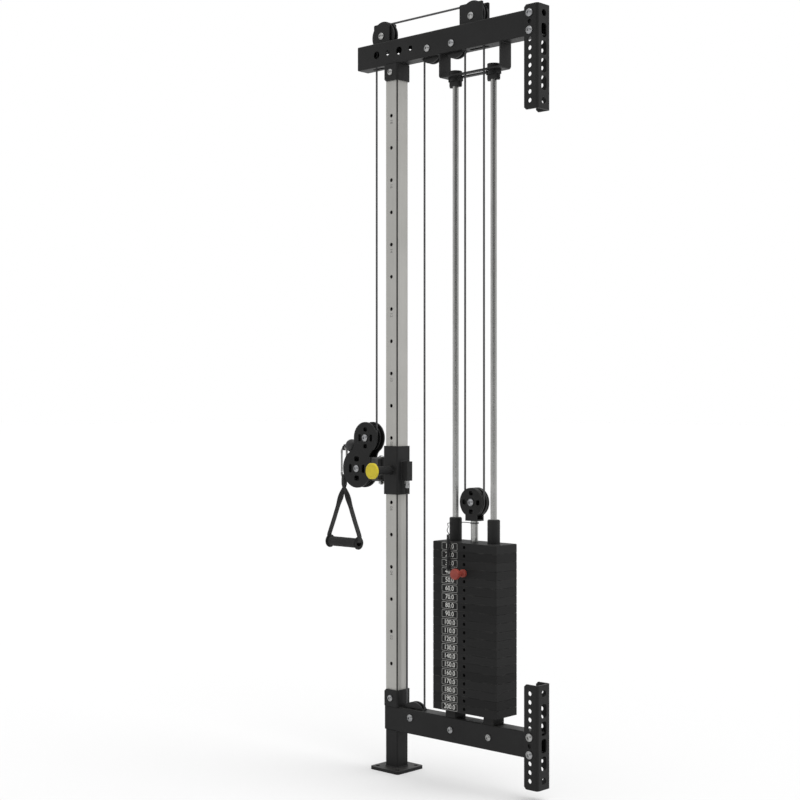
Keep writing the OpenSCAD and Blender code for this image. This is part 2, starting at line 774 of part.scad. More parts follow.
// Weight plate number i, counted from the head plate as 0
module weight_plate(i) {
    z = stack_top - (i + 1) * plate_step + plate_gap;
    edge = 1.2;
    translate([stack_x, 0, z]) difference() {
        union() {
            linear_extrude(plate_t - edge) round_rect(plate_l, plate_w, 3);
            linear_extrude(plate_t) round_rect(plate_l - 2 * edge, plate_w - 2 * edge, 3);
        }
        translate([0, 0, -1]) cylinder(d = stem_hole_d, h = plate_t + 2, $fn = round_fn);
        for (s = [-1, 1])
            translate([s * rod_spacing / 2, 0, -1])
                cylinder(d = plate_hole_d, h = plate_t + 2, $fn = round_fn);
        translate([0, -plate_w / 2 + select_hole_depth / 2, plate_t / 2])
            y_rod(select_hole_d, select_hole_depth + 1);
    }
}

module head_plate() {
    color(black) weight_plate(0);
}

module selected_plates() {
    color(black) for (i = [1 : lifted_count - 1]) weight_plate(i);
}

module resting_plates() {
    color(black) for (i = [lifted_count : plate_count - 1]) weight_plate(i);
}

module lifting_stem() {
    color(steel) difference() {
        union() {
            translate([stack_x, 0, stem_bottom])
                cylinder(d = stem_d, h = block_base_z - stem_bottom, $fn = round_fn);
            translate([stack_x, 0, block_base_z])
                cylinder(d = 12, h = block_base_t + 5.5, $fn = round_fn);
            translate([stack_x, 0, block_base_z + block_base_t]) hex_piece(19, 5);
        }
        for (i = [0 : plate_count - 1])
            translate([stack_x, 0, stack_top - (i + 0.5) * plate_step + plate_gap / 2])
                y_rod(select_hole_d, 2 * stem_d);
    }
}

// Four windows round a bolt: above and below at end_r, to the sides at side_r, each [width, height]
module cheek_windows(end_r, end, side_r, side) {
    for (s = [-1, 1]) {
        translate([0, s * end_r]) round_rect(end[0], end[1], 5);
        translate([s * side_r, 0]) round_rect(side[0], side[1], 5);
    }
}

module stack_pulley_block() {
    half = 22;
    base_w = 2 * cheek_out;
    color(black) {
        difference() {
            union() for (s = [-1, 1])
                y_plate(s * (cheek_in + cheek_t / 2), cheek_t) translate([stack_x, stack_pulley_z]) {
                    circle(r = stack_cheek_r, $fn = 96);
                    translate([-half, block_base_z - stack_pulley_z])
                        square([2 * half, stack_pulley_z - block_base_z]);
                }
            translate([stack_x, 0, stack_pulley_z]) {
                y_rod(axle_d + 2 * axle_clear, 2 * base_w);
                rotate([90, 0, 0]) translate([0, 0, -base_w]) linear_extrude(2 * base_w)
                    cheek_windows(28, [16, 14], 27, [14, 16]);
            }
        }
        translate([stack_x, 0, block_base_z]) difference() {
            translate([-half, -cheek_in, 0]) cube([2 * half, 2 * cheek_in, block_base_t]);
            translate([0, 0, -1]) cylinder(d = 12 + 2 * bolt_clear, h = block_base_t + 2, $fn = round_fn);
        }
    }
}

module stack_axle() {
    color(zinc) translate([stack_x, 0, stack_pulley_z]) y_bolt(axle_d, 21, 7.5, cheek_out, 18, 8);
}

module guide_sleeves() {
    color(black) for (x = rod_x)
        translate([x, 0, stack_top]) difference() {
            union() {
                cylinder(d = sleeve_d, h = sleeve_h - 2, $fn = round_fn);
                cylinder(d = sleeve_d - 4, h = sleeve_h, $fn = round_fn);
            }
            translate([0, 0, -1]) cylinder(d = rod_d + 2 * sleeve_clear, h = sleeve_h + 2, $fn = round_fn);
        }
}

// The selector pin's lanyard: a curly cord in front of the plates and a thin lead to the stem
coil_x = stack_x - 53.6;
coil_y = -plate_w / 2 - 8.5;
coil_top = stack_top + 24;
coil_r = 4.9;
coil_wire = 2.4;
coil_pitch = 3.2;
coil_turns = floor((coil_top - select_z - 4) / coil_pitch);
coil_bottom = coil_top - coil_turns * coil_pitch;
knob_flange_d = 24;
knob_flange_l = 9;
knob_face_gap = 0.3;
sides = 6;
rings_per_turn = 8;

function unit(v) = v / norm(v);
function coil_point(t) = [
    coil_x + coil_r * cos(360 * t), coil_y + coil_r * sin(360 * t), coil_top - coil_pitch * t
];

// Straight ends one wire diameter long, then the curls
coil_path = concat(
    [coil_point(0) + [0, -2 * coil_wire, coil_wire * 0.6], coil_point(0) + [0, -coil_wire, coil_wire * 0.3]],
    [for (i = [0 : coil_turns * rings_per_turn]) coil_point(i / rings_per_turn)],
    [
        coil_point(coil_turns) + [0, coil_wire, -coil_wire * 0.3],
        coil_point(coil_turns) + [0, 2 * coil_wire, -coil_wire * 0.6]
    ]
);
loop_gap = min([
    for (i = [2 : rings_per_turn + 2], j = [rings_per_turn - 2 : rings_per_turn + 2])
        norm(coil_path[i] - coil_path[i + j])
]) - coil_wire;

// Rings of points round a path, each ring square to the path's direction
function path_dir(p, i) = unit(p[min(i + 1, len(p) - 1)] - p[max(i - 1, 0)]);
function ring_side(d) = unit(cross(d, abs(d[2]) > 0.9 ? [0, 1, 0] : [0, 0, 1]));
function tube_points(p, r, n) = [
    for (i = [0 : len(p) - 1])
        let (d = path_dir(p, i), u = ring_side(d), v = cross(d, u))
            for (k = [0 : n - 1]) p[i] + r * (cos(360 * k / n) * u + sin(360 * k / n) * v)
];
function tube_faces(count, n) = concat(
    [for (k = [1 : n - 2]) [0, k, k + 1]],
    [for (k = [1 : n - 2]) [(count - 1) * n, (count - 1) * n + k + 1, (count - 1) * n + k]],
    [for (i = [0 : count - 2], k = [0 : n - 1]) [i * n + k, (i + 1) * n + k, i * n + (k + 1) % n]],
    [for (i = [0 : count - 2], k = [0 : n - 1])
        [i * n + (k + 1) % n, (i + 1) * n + k, (i + 1) * n + (k + 1) % n]]
);
module swept_tube(p, r, n) {
    polyhedron(points = tube_points(p, r, n), faces = tube_faces(len(p), n));
}

// The lead's points: from the coil over the head plate, behind the front sleeve, to the stem
lead_d = 1.8;
lead_points = [
    [coil_x + coil_r, coil_y - 2 * coil_wire, coil_top + 2.6],
    [coil_x - 4, coil_y - 2, coil_top + 12],
    [coil_x - 12, coil_y + 12, coil_top + 21],
    [coil_x - 26, coil_y + 26, coil_top + 26],
    [coil_x - 42, coil_y + 44, coil_top + 28],
    [coil_x - 46, coil_y + 60, coil_top + 29],
    [coil_x - 36, coil_y + 76, coil_top + 30],
    [coil_x - 14, coil_y + 82, coil_top + 31],
    [coil_x + 10, coil_y + 76, coil_top + 32],
    [coil_x + 28, coil_y + 66, coil_top + 33],
    [coil_x + 41, coil_y + 58.5, coil_top + 34]
];

tail_points = [
    [coil_x + coil_r, coil_y + 2 * coil_wire, coil_bottom - 2],
    [coil_x + 9, coil_y + 4, coil_bottom - 8],
    [coil_x + 18, coil_y + 2, coil_bottom - 12],
    [coil_x + 28, coil_y + 1, coil_bottom - 13],
    [coil_x + 34, coil_y + 1.5, coil_bottom - 10],
    [stack_x - knob_flange_d / 2 - lead_d, -plate_w / 2 - knob_face_gap - knob_flange_l / 2, select_z]
];

module selector_lanyard() {
    color(rubber) {
        swept_tube(coil_path, coil_wire / 2, sides);
        swept_tube(lead_points, lead_d / 2, 8);
        swept_tube(tail_points, lead_d / 2, 8);
    }
    color(zinc) translate([stack_x, 0, coil_top + 32]) difference() {
        cylinder(d = stem_d + 5, h = 4, $fn = round_fn);
        translate([0, 0, -1]) cylinder(d = stem_d + 2 * eps, h = 6, $fn = round_fn);
    }
}
echo(least_gap_between_curls = loop_gap);

module selector_pin() {
    inner_end = 14;
    color(zinc) translate([stack_x, (inner_end - knob_front) / 2, select_z])
        y_rod(pin_d, knob_front + inner_end);
}

knob_front = plate_w / 2 + 44;
knob_end_wall = 2;
select_knob_l = knob_front + knob_end_wall - plate_w / 2 - knob_face_gap;

// The red knob of the selector pin: a fluted head, a waist and a flange that meets the plate
module selector_knob() {
    r = 16.5;
    waist_r = 8;
    flange_r = knob_flange_d / 2;
    flange_z = select_knob_l - knob_flange_l;
    color(red) translate([stack_x, -knob_front - knob_end_wall, select_z]) rotate([-90, 0, 0]) difference() {
        rotate_extrude($fn = round_fn) polygon([
            [0, 0], [r - 3, 0], [r - 0.8, 1], [r, 3.5], [r, 9.5], [r - 1.5, 12.5],
            [waist_r + 1, 15], [waist_r, 19], [waist_r, flange_z - 4], [waist_r + 1, flange_z - 1],
            [flange_r - 1, flange_z], [flange_r, flange_z + 1], [flange_r, select_knob_l - 1],
            [flange_r - 1, select_knob_l], [0, select_knob_l]
        ]);
        translate([0, 0, knob_end_wall])
            cylinder(d = pin_d + 2 * eps, h = select_knob_l, $fn = round_fn);
        for (a = [0 : 45 : 315])
            rotate(a) translate([r + 2.5, 0, -1]) cylinder(r = 3.6, h = 12, $fn = small_fn);
    }
}

// Fixed cable over the two top pulleys
module top_cable_run() {
    color(cable_grey) {
        translate([-front_pulley_back, 0, top_pulley_z]) cable_arc(top_r, 90, 180);
        cable_level(-front_pulley_back, rear_pulley_x, top_pulley_z + top_r);
        translate([rear_pulley_x, 0, top_pulley_z]) cable_arc(top_r, 0, 90);
        cable_drop(stack_rear_run_x, inner_z, top_pulley_z);
    }
}

// Fixed cable inside the upper arm, down behind the column and round the lower pulley
module inner_cable_run() {
    color(cable_grey) {
        translate([inner_rear_x, 0, inner_z]) cable_arc(inner_r, 0, 90);
        cable_level(inner_front_x, inner_rear_x, inner_z + inner_r);
        translate([inner_front_x, 0, inner_z]) cable_arc(inner_r, 90, 180);
        cable_drop(down_run_x, lower_pulley_z, inner_z);
        translate([lower_pulley_x, 0, lower_pulley_z]) cable_arc(lower_r, 180, 360);
    }
}

module front_cable_run() {
    color(cable_grey) cable_drop(front_run_x, block_cable_top, top_pulley_z);
}

module stack_cable_runs() {
    color(cable_grey) {
        for (x = [stack_front_run_x, stack_rear_run_x])
            cable_drop(x, stack_pulley_z, inner_z);
    }
}

module return_cable_run() {
    color(cable_grey) cable_drop(return_run_x, lower_pulley_z, return_top_z);
}

module stack_cable_bend() {
    color(cable_grey) translate([stack_x, 0, stack_pulley_z]) cable_arc(stack_r, 180, 360);
}

// From the drop, round the block's upper pulley and out to the ball
module block_cable() {
    color(cable_grey) {
        cable_drop(front_run_x, block_upper_z, block_cable_top);
        translate([block_upper_x, 0, block_upper_z]) {
            cable_arc(block_upper_r, -90 - lead_angle, 0);
            rotate([0, lead_angle, 0]) translate([0, 0, -block_upper_r])
                rotate([0, -90, 0]) cylinder(r = cable_r, h = lead_l - ball_d / 2 - 0.3, $fn = small_fn);
        }
    }
}

module front_top_pulley() {
    color(black) translate([-front_pulley_back, 0, top_pulley_z]) pulley(top_r, hub_half, pulley_rim);
}

module rear_top_pulley() {
    color(black) translate([rear_pulley_x, 0, top_pulley_z]) pulley(top_r, hub_half, pulley_rim);
}

module inner_front_pulley() {
    color(black) translate([inner_front_x, 0, inner_z]) pulley(inner_r, hub_half, pulley_rim);
}

module inner_rear_pulley() {
    color(black) translate([inner_rear_x, 0, inner_z]) pulley(inner_r, hub_half, pulley_rim);
}

module lower_pulley() {
    color(black) translate([lower_pulley_x, 0, lower_pulley_z]) pulley(lower_r, hub_half, pulley_rim);
}

module stack_pulley() {
    color(black) translate([stack_x, 0, stack_pulley_z]) pulley(stack_r, hub_half, stack_rim);
}

module block_upper_pulley() {
    color(black) translate([block_upper_x, 0, block_upper_z])
        pulley(block_upper_r, block_hub_half, pulley_rim);
}

module block_lower_pulley() {
    color(black) translate([block_lower_x, 0, rest_z]) pulley(block_lower_r, block_hub_half, pulley_rim);
}

module trolley_sleeve() {
    web_t = 8;
    color(black) difference() {
        union() {
            translate([0, 0, trolley_z]) linear_extrude(trolley_h)
                tube_profile(sleeve_outer, sleeve_outer, trolley_wall, 5);
            translate([hinge_x, -web_t / 2, rest_z - barrel_half])
                cube([hinge_back - sleeve_half + 1, web_t, 2 * barrel_half]);
            translate([hinge_x, 0, rest_z - barrel_half])
                cylinder(d = hinge_pin_d + 8, h = 2 * barrel_half, $fn = round_fn);
        }
        translate([hinge_x, 0, rest_z - barrel_half - 1])
            cylinder(d = hinge_pin_d + 2 * eps, h = 2 * barrel_half + 2, $fn = round_fn);
        translate([0, -sleeve_half, rest_z]) y_rod(plunger_d + 1, 4 * trolley_wall);
    }
}

module sleeve_liners() {
    outer = 2 * (sleeve_in - eps);
    color([0.85, 0.85, 0.83]) for (z = [trolley_z, trolley_z + trolley_h - liner_h])
        translate([0, 0, z]) linear_extrude(liner_h) difference() {
            round_rect(outer, outer, 2);
            round_rect(2 * liner_in, 2 * liner_in, column_corner);
        }
}

// The square post on the trolley's rear face that holds the cable's threaded end
module cable_anchor() {
    color(black) difference() {
        translate([sleeve_half, -anchor_w / 2, anchor_z]) cube([anchor_l, anchor_w, anchor_h]);
        translate([sleeve_half - 1, -anchor_w / 2 + 4, anchor_z + 6])
            cube([anchor_l - 4 + 1, anchor_w - 8, anchor_h]);
        translate([return_run_x, 0, anchor_z - 1]) cylinder(d = 10 + 2 * eps, h = 8, $fn = round_fn);
    }
}

module cable_end_fitting() {
    color(zinc) translate([return_run_x, 0, 0]) {
        translate([0, 0, stud_end_z]) cylinder(d = 10, h = anchor_z + 20 - stud_end_z, $fn = round_fn);
        translate([0, 0, anchor_z + 6]) hex_piece(14, 8);
        translate([0, 0, anchor_z - 8]) hex_piece(14, 8);
        translate([0, 0, stud_end_z]) cylinder(d = 13, h = 8, $fn = round_fn);
        translate([0, 0, return_top_z]) cylinder(d1 = 8.5, d2 = 9.5, h = ferrule_l, $fn = round_fn);
    }
}

// Depths from the column's axis: the spring's chamber, the plunger's collar and the knob's socket
chamber_z = sleeve_half + 4;
collar_l = 4;
spring_z0 = chamber_z + 0.3 + plunger_travel + collar_l;
socket_z = housing_end - plunger_travel - 3;
chamber_end = socket_z - bore_wall;
spring_l = chamber_end - spring_z0;

module pop_pin_housing() {
    color(black) translate([0, 0, rest_z]) rotate([90, 0, 0]) difference() {
        union() {
            translate([0, 0, sleeve_half])
                cylinder(d = housing_d, h = housing_end - sleeve_half, $fn = round_fn);
            translate([0, 0, sleeve_half]) cylinder(d = housing_d + 4, h = 8, $fn = 6);
        }
        translate([0, 0, sleeve_half - 1]) cylinder(d = plunger_d + 0.2, h = housing_end, $fn = round_fn);
        translate([0, 0, chamber_z]) cylinder(d = 18, h = chamber_end - chamber_z, $fn = round_fn);
        translate([0, 0, socket_z]) cylinder(d = neck_d + 0.8, h = plunger_travel + 4, $fn = round_fn);
    }
}

// The coil spring round the plunger's waist, pressed between its collar and the housing's wall
module pop_pin_spring() {
    wire = 1.4;
    r = 7.2;
    turns = 10;
    seat = wire / 2 + 0.25;
    path = [
        for (i = [0 : turns * rings_per_turn])
            let (t = i / rings_per_turn)
                [r * cos(360 * t), -spring_z0 - seat - t * (spring_l - 2 * seat) / turns,
                rest_z + r * sin(360 * t)]
    ];
    echo(least_gap_between_spring_turns = (spring_l - 2 * seat) / turns - wire);
    color(zinc) swept_tube(path, wire / 2, sides);
}

module pop_pin_plunger() {
    tip = column_size / 2 + 0.6;
    waist_d = 9;
    color(zinc) translate([0, 0, rest_z]) rotate([90, 0, 0]) {
        translate([0, 0, tip]) cylinder(d1 = plunger_d - 2, d2 = plunger_d, h = 2, $fn = round_fn);
        translate([0, 0, tip + 2])
            cylinder(d = plunger_d, h = spring_z0 - collar_l - tip - 2, $fn = round_fn);
        translate([0, 0, spring_z0 - collar_l]) cylinder(d = 17.4, h = collar_l, $fn = round_fn);
        translate([0, 0, spring_z0]) cylinder(d = waist_d, h = knob_reach - spring_z0, $fn = round_fn);
        translate([0, 0, housing_end - 2])
            cylinder(d = neck_d, h = knob_reach - knob_half - housing_end + 2, $fn = round_fn);
    }
}

// The flat pull knob: a chamfered disc with eight flats, on a short hub round the plunger
module pop_pin_knob() {
    r = knob_d / 2;
    chamfer = 3;
    color(yellow) translate([0, -knob_reach, rest_z]) rotate([90, 0, 0]) difference() {
        intersection() {
            rotate_extrude($fn = 96) polygon([
                [0, -knob_half], [r - chamfer, -knob_half], [r, chamfer - knob_half],
                [r, knob_half - chamfer], [r - chamfer, knob_half], [r - 2 * chamfer, knob_half],
                [r - 2 * chamfer - 1, knob_half - 1], [0, knob_half - 1]
            ]);
            rotate(22.5) cylinder(d = (knob_d - 1.5) / cos(22.5), h = 4 * knob_half, center = true, $fn = 8);
        }
        translate([0, 0, -knob_half - 1]) cylinder(d = 9 + 2 * eps, h = knob_half + 1.2, $fn = round_fn);
    }
}

module hinge_pin() {
    color(zinc) translate([hinge_x, 0, 0]) {
        translate([0, 0, rest_z - yoke_half - yoke_t])
            cylinder(d = hinge_pin_d, h = 2 * (yoke_half + yoke_t), $fn = round_fn);
        translate([0, 0, rest_z + yoke_half + yoke_t]) dome_head(20, 7);
        translate([0, 0, rest_z - yoke_half - yoke_t - 8]) hex_piece(16, 8);
        translate([0, 0, rest_z - yoke_half - yoke_t - 11]) cylinder(d = hinge_pin_d, h = 4, $fn = round_fn);
    }
}

// Outline of a block cheek: two discs run together by a hollow waist, and a tab to the yoke
module cheek_outline() {
    waist_r = 30;
    tab_half = yoke_half + yoke_t;
    offset(r = -waist_r, $fn = 96) offset(r = waist_r, $fn = 96) {
        circle(r = lower_cheek_r, $fn = 96);
        translate([block_upper_x - block_lower_x, block_axle_rise]) circle(r = upper_cheek_r, $fn = 96);
    }
    translate([0, -tab_half]) square([yoke_web_x - block_lower_x + yoke_t, 2 * tab_half]);
}

module block_cheeks() {
    dx = block_upper_x - block_lower_x;
    window_r = [0.5 * lower_cheek_r, 0.53 * upper_cheek_r];
    color(black) for (s = [-1, 1])
        y_plate(s * (block_in + cheek_t / 2), cheek_t) translate([block_lower_x, rest_z]) difference() {
            cheek_outline();
            circle(d = axle_d + 2 * axle_clear, $fn = round_fn);
            cheek_windows(window_r[0], [22, 17], window_r[0] - 2, [13, 28]);
            translate([dx, block_axle_rise]) {
                circle(d = axle_d + 2 * axle_clear, $fn = round_fn);
                cheek_windows(window_r[1], [17, 14], window_r[1] - 2, [12, 24]);
            }
        }
}

// The plated yoke between the cheeks that turns on the hinge pin
module block_yoke() {
    color(steel) difference() {
        union() {
            translate([yoke_web_x, -yoke_w / 2, rest_z - yoke_half - yoke_t])
                cube([yoke_t, yoke_w, 2 * (yoke_half + yoke_t)]);
            for (z = [rest_z - yoke_half - yoke_t, rest_z + yoke_half]) {
                translate([yoke_web_x, -yoke_w / 2, z]) cube([hinge_x - yoke_web_x, yoke_w, yoke_t]);
                translate([hinge_x, 0, z]) cylinder(d = yoke_w, h = yoke_t, $fn = round_fn);
            }
        }
        translate([hinge_x, 0, rest_z])
            cylinder(d = hinge_pin_d + 2 * axle_clear, h = 4 * yoke_half, center = true, $fn = round_fn);
    }
}

module block_axles() {
    color(zinc) for (p = [[block_upper_x, block_upper_z], [block_lower_x, rest_z]])
        translate([p[0], 0, p[1]]) y_bolt(axle_d, 22, 7.5, block_out, 18, 7);
}

// The moulded ball stop, and the swaged eye that the carabiner hangs in
module ball_stop() {
    eye_t = 4;
    eye_r = 8;
    shank_d = 8;
    eye_bore = carabiner_d / 2 + 0.8;
    color([0.3, 0.3, 0.3]) translate([ball_x, 0, ball_z]) difference() {
        sphere(d = ball_d, $fn = 96);
        rotate([0, 90, 0]) cylinder(d = shank_d + 2 * eps, h = 2 * ball_d, center = true, $fn = round_fn);
    }
    color(zinc) translate([ball_x, 0, ball_z]) difference() {
        union() {
            translate([-carabiner_reach, 0, 0]) rotate([0, 90, 0])
                cylinder(d = shank_d, h = carabiner_reach + ball_d / 2 - 1, $fn = round_fn);
            translate([-carabiner_reach - eye_t / 2, 0, carabiner_top - carabiner_d / 2 + 0.4 - ball_z])
                rotate([0, 90, 0]) cylinder(r = eye_r, h = eye_t, $fn = round_fn);
        }
        translate([-carabiner_reach - 3 * eye_t, 0, carabiner_top - carabiner_d / 2 + 0.4 - ball_z])
            rotate([0, 90, 0]) cylinder(r = eye_bore, h = 5 * eye_t, $fn = round_fn);
    }
}

// A quarter of the carabiner's wire about Y, from angle a0 over 90 degrees
module wire_bend(a0) {
    rotate([90, 0, 0]) rotate([0, 0, a0]) rotate_extrude(angle = 90, $fn = round_fn)
        translate([carabiner_bend, 0]) circle(d = carabiner_d, $fn = small_fn);
}

gate_top = bend_top_z - 8;
gate_bottom = bend_low_z + 6;
gate_r = carabiner_d / 2 - 0.5;

// The carabiner's open wire body, its top bend through the eye
module carabiner() {
    color(steel) {
        translate([carabiner_x, 0, bend_top_z]) {
            wire_bend(0);
            wire_bend(90);
        }
        translate([carabiner_x, 0, bend_low_z]) {
            wire_bend(180);
            wire_bend(270);
        }
        translate([carabiner_x + carabiner_bend, 0, bend_low_z])
            cylinder(d = carabiner_d, h = bend_top_z - bend_low_z, $fn = small_fn);
        translate([carabiner_x - carabiner_bend, 0, gate_top + 0.4])
            cylinder(d = carabiner_d, h = bend_top_z - gate_top - 0.4, $fn = small_fn);
        translate([carabiner_x - carabiner_bend, 0, bend_low_z])
            cylinder(d = carabiner_d, h = gate_bottom - 0.4 - bend_low_z, $fn = small_fn);
    }
}

// The sprung gate, its foot round about its rivet
module carabiner_gate() {
    color(steel) translate([carabiner_x - carabiner_bend, 0, gate_bottom + gate_r]) {
        sphere(r = gate_r, $fn = small_fn);
        cylinder(r = gate_r, h = gate_top - gate_bottom - gate_r, $fn = small_fn);
        y_rod(2.4, 2 * gate_r + 1.4);
    }
}

// One side of the webbing in side view: from the sewn neck down, over the end cap and into the tube's bore
module strap_side(s) {
    lay = 2.5;
    half_t = strap_t / 2;
    near = core_l / 2 + eps;
    far = near + strap_t;
    polygon([
        [0, fork + 4], [s * neck_half, fork + 4], [s * (neck_half + 0.5), fork],
        [s * far, cap_d / 2], [s * far, lay + half_t],
        for (a = [15 : 15 : 75])
            [s * (near + strap_t * cos(a)), lay + half_t - strap_t * sin(a)],
        [s * near, lay - half_t], [0, lay - half_t], [0, lay + half_t],
        [s * near, lay + half_t], [s * near, cap_d / 2],
        [s * 2.5, fork - 18], [0, fork - 16]
    ]);
}

module handle_straps() {
    neck_w = carabiner_d + 2 * strap_t + 0.8;
    loop_h = neck_ceiling - carabiner_bottom + 0.3;
    neck_h = loop_h + 18 + strap_t;
    color(rubber) translate([handle_x, 0, handle_z]) difference() {
        union() {
            for (s = [-1, 1])
                translate([0, strap_w / 2, 0]) rotate([90, 0, 0]) linear_extrude(strap_w) strap_side(s);
            translate([-neck_half, 0, strap_drop + strap_t - neck_h]) rotate([90, 0, 90])
                linear_extrude(2 * neck_half) translate([0, neck_h / 2]) round_rect(neck_w, neck_h, 3);
        }
        translate([-neck_half - 1, -carabiner_d / 2 - 0.4, strap_drop - loop_h])
            cube([2 * neck_half + 2, carabiner_d + 0.8, loop_h]);
    }
}

// The handle's tube with its two flanged caps
module handle_core() {
    edge = 1.2;
    color(rubber) translate([handle_x, 0, handle_z]) rotate([0, 90, 0]) difference() {
        union() {
            cylinder(d = core_d, h = core_l, center = true, $fn = round_fn);
            for (s = [-1, 1])
                translate([0, 0, s * (core_l / 2 - cap_l / 2)]) {
                    cylinder(d = cap_d, h = cap_l - 2 * edge, center = true, $fn = round_fn);
                    cylinder(d = cap_d - 2 * edge, h = cap_l, center = true, $fn = round_fn);
                }
        }
        cylinder(d = core_d - 2 * core_wall, h = core_l + 2, center = true, $fn = round_fn);
    }
}

module handle_grip() {
    ring_l = 4;
    ring_pitch = (grip_l - 3 * ring_l) / 19;
    color([0.13, 0.13, 0.13]) translate([handle_x, 0, handle_z]) rotate([0, 90, 0])
        rotate_extrude($fn = 96) difference() {
            union() {
                translate([core_d / 2 + grip_clear, -grip_l / 2])
                    square([(grip_d - core_d) / 2 - grip_clear, grip_l]);
                for (z = [-grip_l / 2, grip_l / 2 - ring_l])
                    translate([grip_d / 2 - 1, z]) square([1.8, ring_l]);
            }
            for (i = [-9 : 9])
                translate([grip_d / 2 + 0.5, i * ring_pitch]) circle(r = 1.3, $fn = small_fn);
        }
}

foot_plate();
foot_post();
lower_arm();
column_collars();
column();
upper_arm();
arm_end_plugs();
wall_brackets();
bracket_bolts();
cross_bolts();
front_pulley_bracket();
rear_pulley_bracket();
pulley_axles();
rod_hanger();
guide_rods();
rod_clamps();
rubber_bumpers();
resting_plates();
top_cable_run();
inner_cable_run();
front_cable_run();
stack_cable_runs();
return_cable_run();
head_plate();
selected_plates();
lifting_stem();
stack_pulley_block();
stack_axle();
guide_sleeves();
selector_lanyard();
stack_cable_bend();
selector_pin();
selector_knob();
front_top_pulley();
rear_top_pulley();
inner_front_pulley();
inner_rear_pulley();
lower_pulley();
stack_pulley();
block_upper_pulley();
block_lower_pulley();
trolley_sleeve();
sleeve_liners();
cable_anchor();
cable_end_fitting();
pop_pin_housing();
pop_pin_spring();
hinge_pin();
pop_pin_plunger();
pop_pin_knob();
block_cheeks();
block_yoke();
block_axles();
block_cable();
ball_stop();
carabiner();
carabiner_gate();
handle_straps();
handle_core();
handle_grip();
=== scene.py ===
"""Looks of a wall pulley weight stack: plates on rods, a column with a swivel pulley, cable and handle."""

import math

import bpy
import numpy as np
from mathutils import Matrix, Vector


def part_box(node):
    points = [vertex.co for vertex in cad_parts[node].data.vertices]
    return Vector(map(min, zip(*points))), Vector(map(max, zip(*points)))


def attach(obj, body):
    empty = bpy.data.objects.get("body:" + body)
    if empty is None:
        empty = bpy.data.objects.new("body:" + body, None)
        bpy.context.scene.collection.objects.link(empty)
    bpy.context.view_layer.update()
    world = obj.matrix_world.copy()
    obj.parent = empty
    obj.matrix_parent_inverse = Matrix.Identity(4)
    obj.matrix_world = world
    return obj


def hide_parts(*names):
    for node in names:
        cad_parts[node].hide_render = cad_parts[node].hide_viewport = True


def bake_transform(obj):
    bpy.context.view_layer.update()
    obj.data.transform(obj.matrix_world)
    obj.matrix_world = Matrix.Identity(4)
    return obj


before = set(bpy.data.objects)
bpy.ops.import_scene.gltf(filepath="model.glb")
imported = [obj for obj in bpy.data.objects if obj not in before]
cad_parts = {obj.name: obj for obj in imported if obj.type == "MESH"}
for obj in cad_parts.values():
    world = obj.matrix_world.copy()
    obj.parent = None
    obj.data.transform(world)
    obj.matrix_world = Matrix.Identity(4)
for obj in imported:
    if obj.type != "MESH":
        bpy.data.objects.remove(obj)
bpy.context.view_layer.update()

MM = 0.001
Y_AXIS = np.array([0.0, 1.0, 0.0])
# The coated cable's radius, and how far a pulley's rim stands out past the cable's middle
CABLE_R = 3.15 * MM
RIM = 9.9 * MM
STACK_RIM = 6.8 * MM


# Places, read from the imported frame

def corners(node):
    """Lowest and highest corner of a CAD node as arrays."""
    return np.array([list(corner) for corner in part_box(node)])


def middle(node):
    """Middle of a CAD node's box."""
    return corners(node).mean(axis=0)


def wheel(node, rim):
    """Middle of a pulley and the radius at which the cable's middle runs in its groove."""
    low, high = corners(node)
    return middle(node), (high[0] - low[0]) / 2 - rim


FRONT_TOP, FRONT_TOP_R = wheel("front_top_pulley", RIM)
REAR_TOP, REAR_TOP_R = wheel("rear_top_pulley", RIM)
INNER_FRONT, INNER_FRONT_R = wheel("inner_front_pulley", RIM)
INNER_REAR, INNER_REAR_R = wheel("inner_rear_pulley", RIM)
LOWER, LOWER_R = wheel("lower_pulley", RIM)
STACK_WHEEL, STACK_R = wheel("stack_pulley", STACK_RIM)
BLOCK_UPPER, BLOCK_UPPER_R = wheel("block_upper_pulley", RIM)
COLUMN_LOW, COLUMN_HIGH = corners("column")
HEAD_LOW, HEAD_HIGH = corners("head_plate")
STACK_X = middle("head_plate")[0]
BALL_Z = middle("ball_stop")[2]
# Height of the trolley's pin hole, at which its hinge is centred
REST_Z = middle("pop_pin_knob")[2]


# Surfaces, each worked out as whole arrays

SHARP_ANGLE = math.radians(40)
ARC_STEPS = 48


def lengths_along(points, closed):
    """Distance from the first point to each point, with one more entry for the way round when closed."""
    ring = np.vstack([points, points[:1]]) if closed else points
    steps = np.linalg.norm(np.diff(ring, axis=0), axis=1)
    return np.concatenate([[0.0], np.cumsum(steps)])


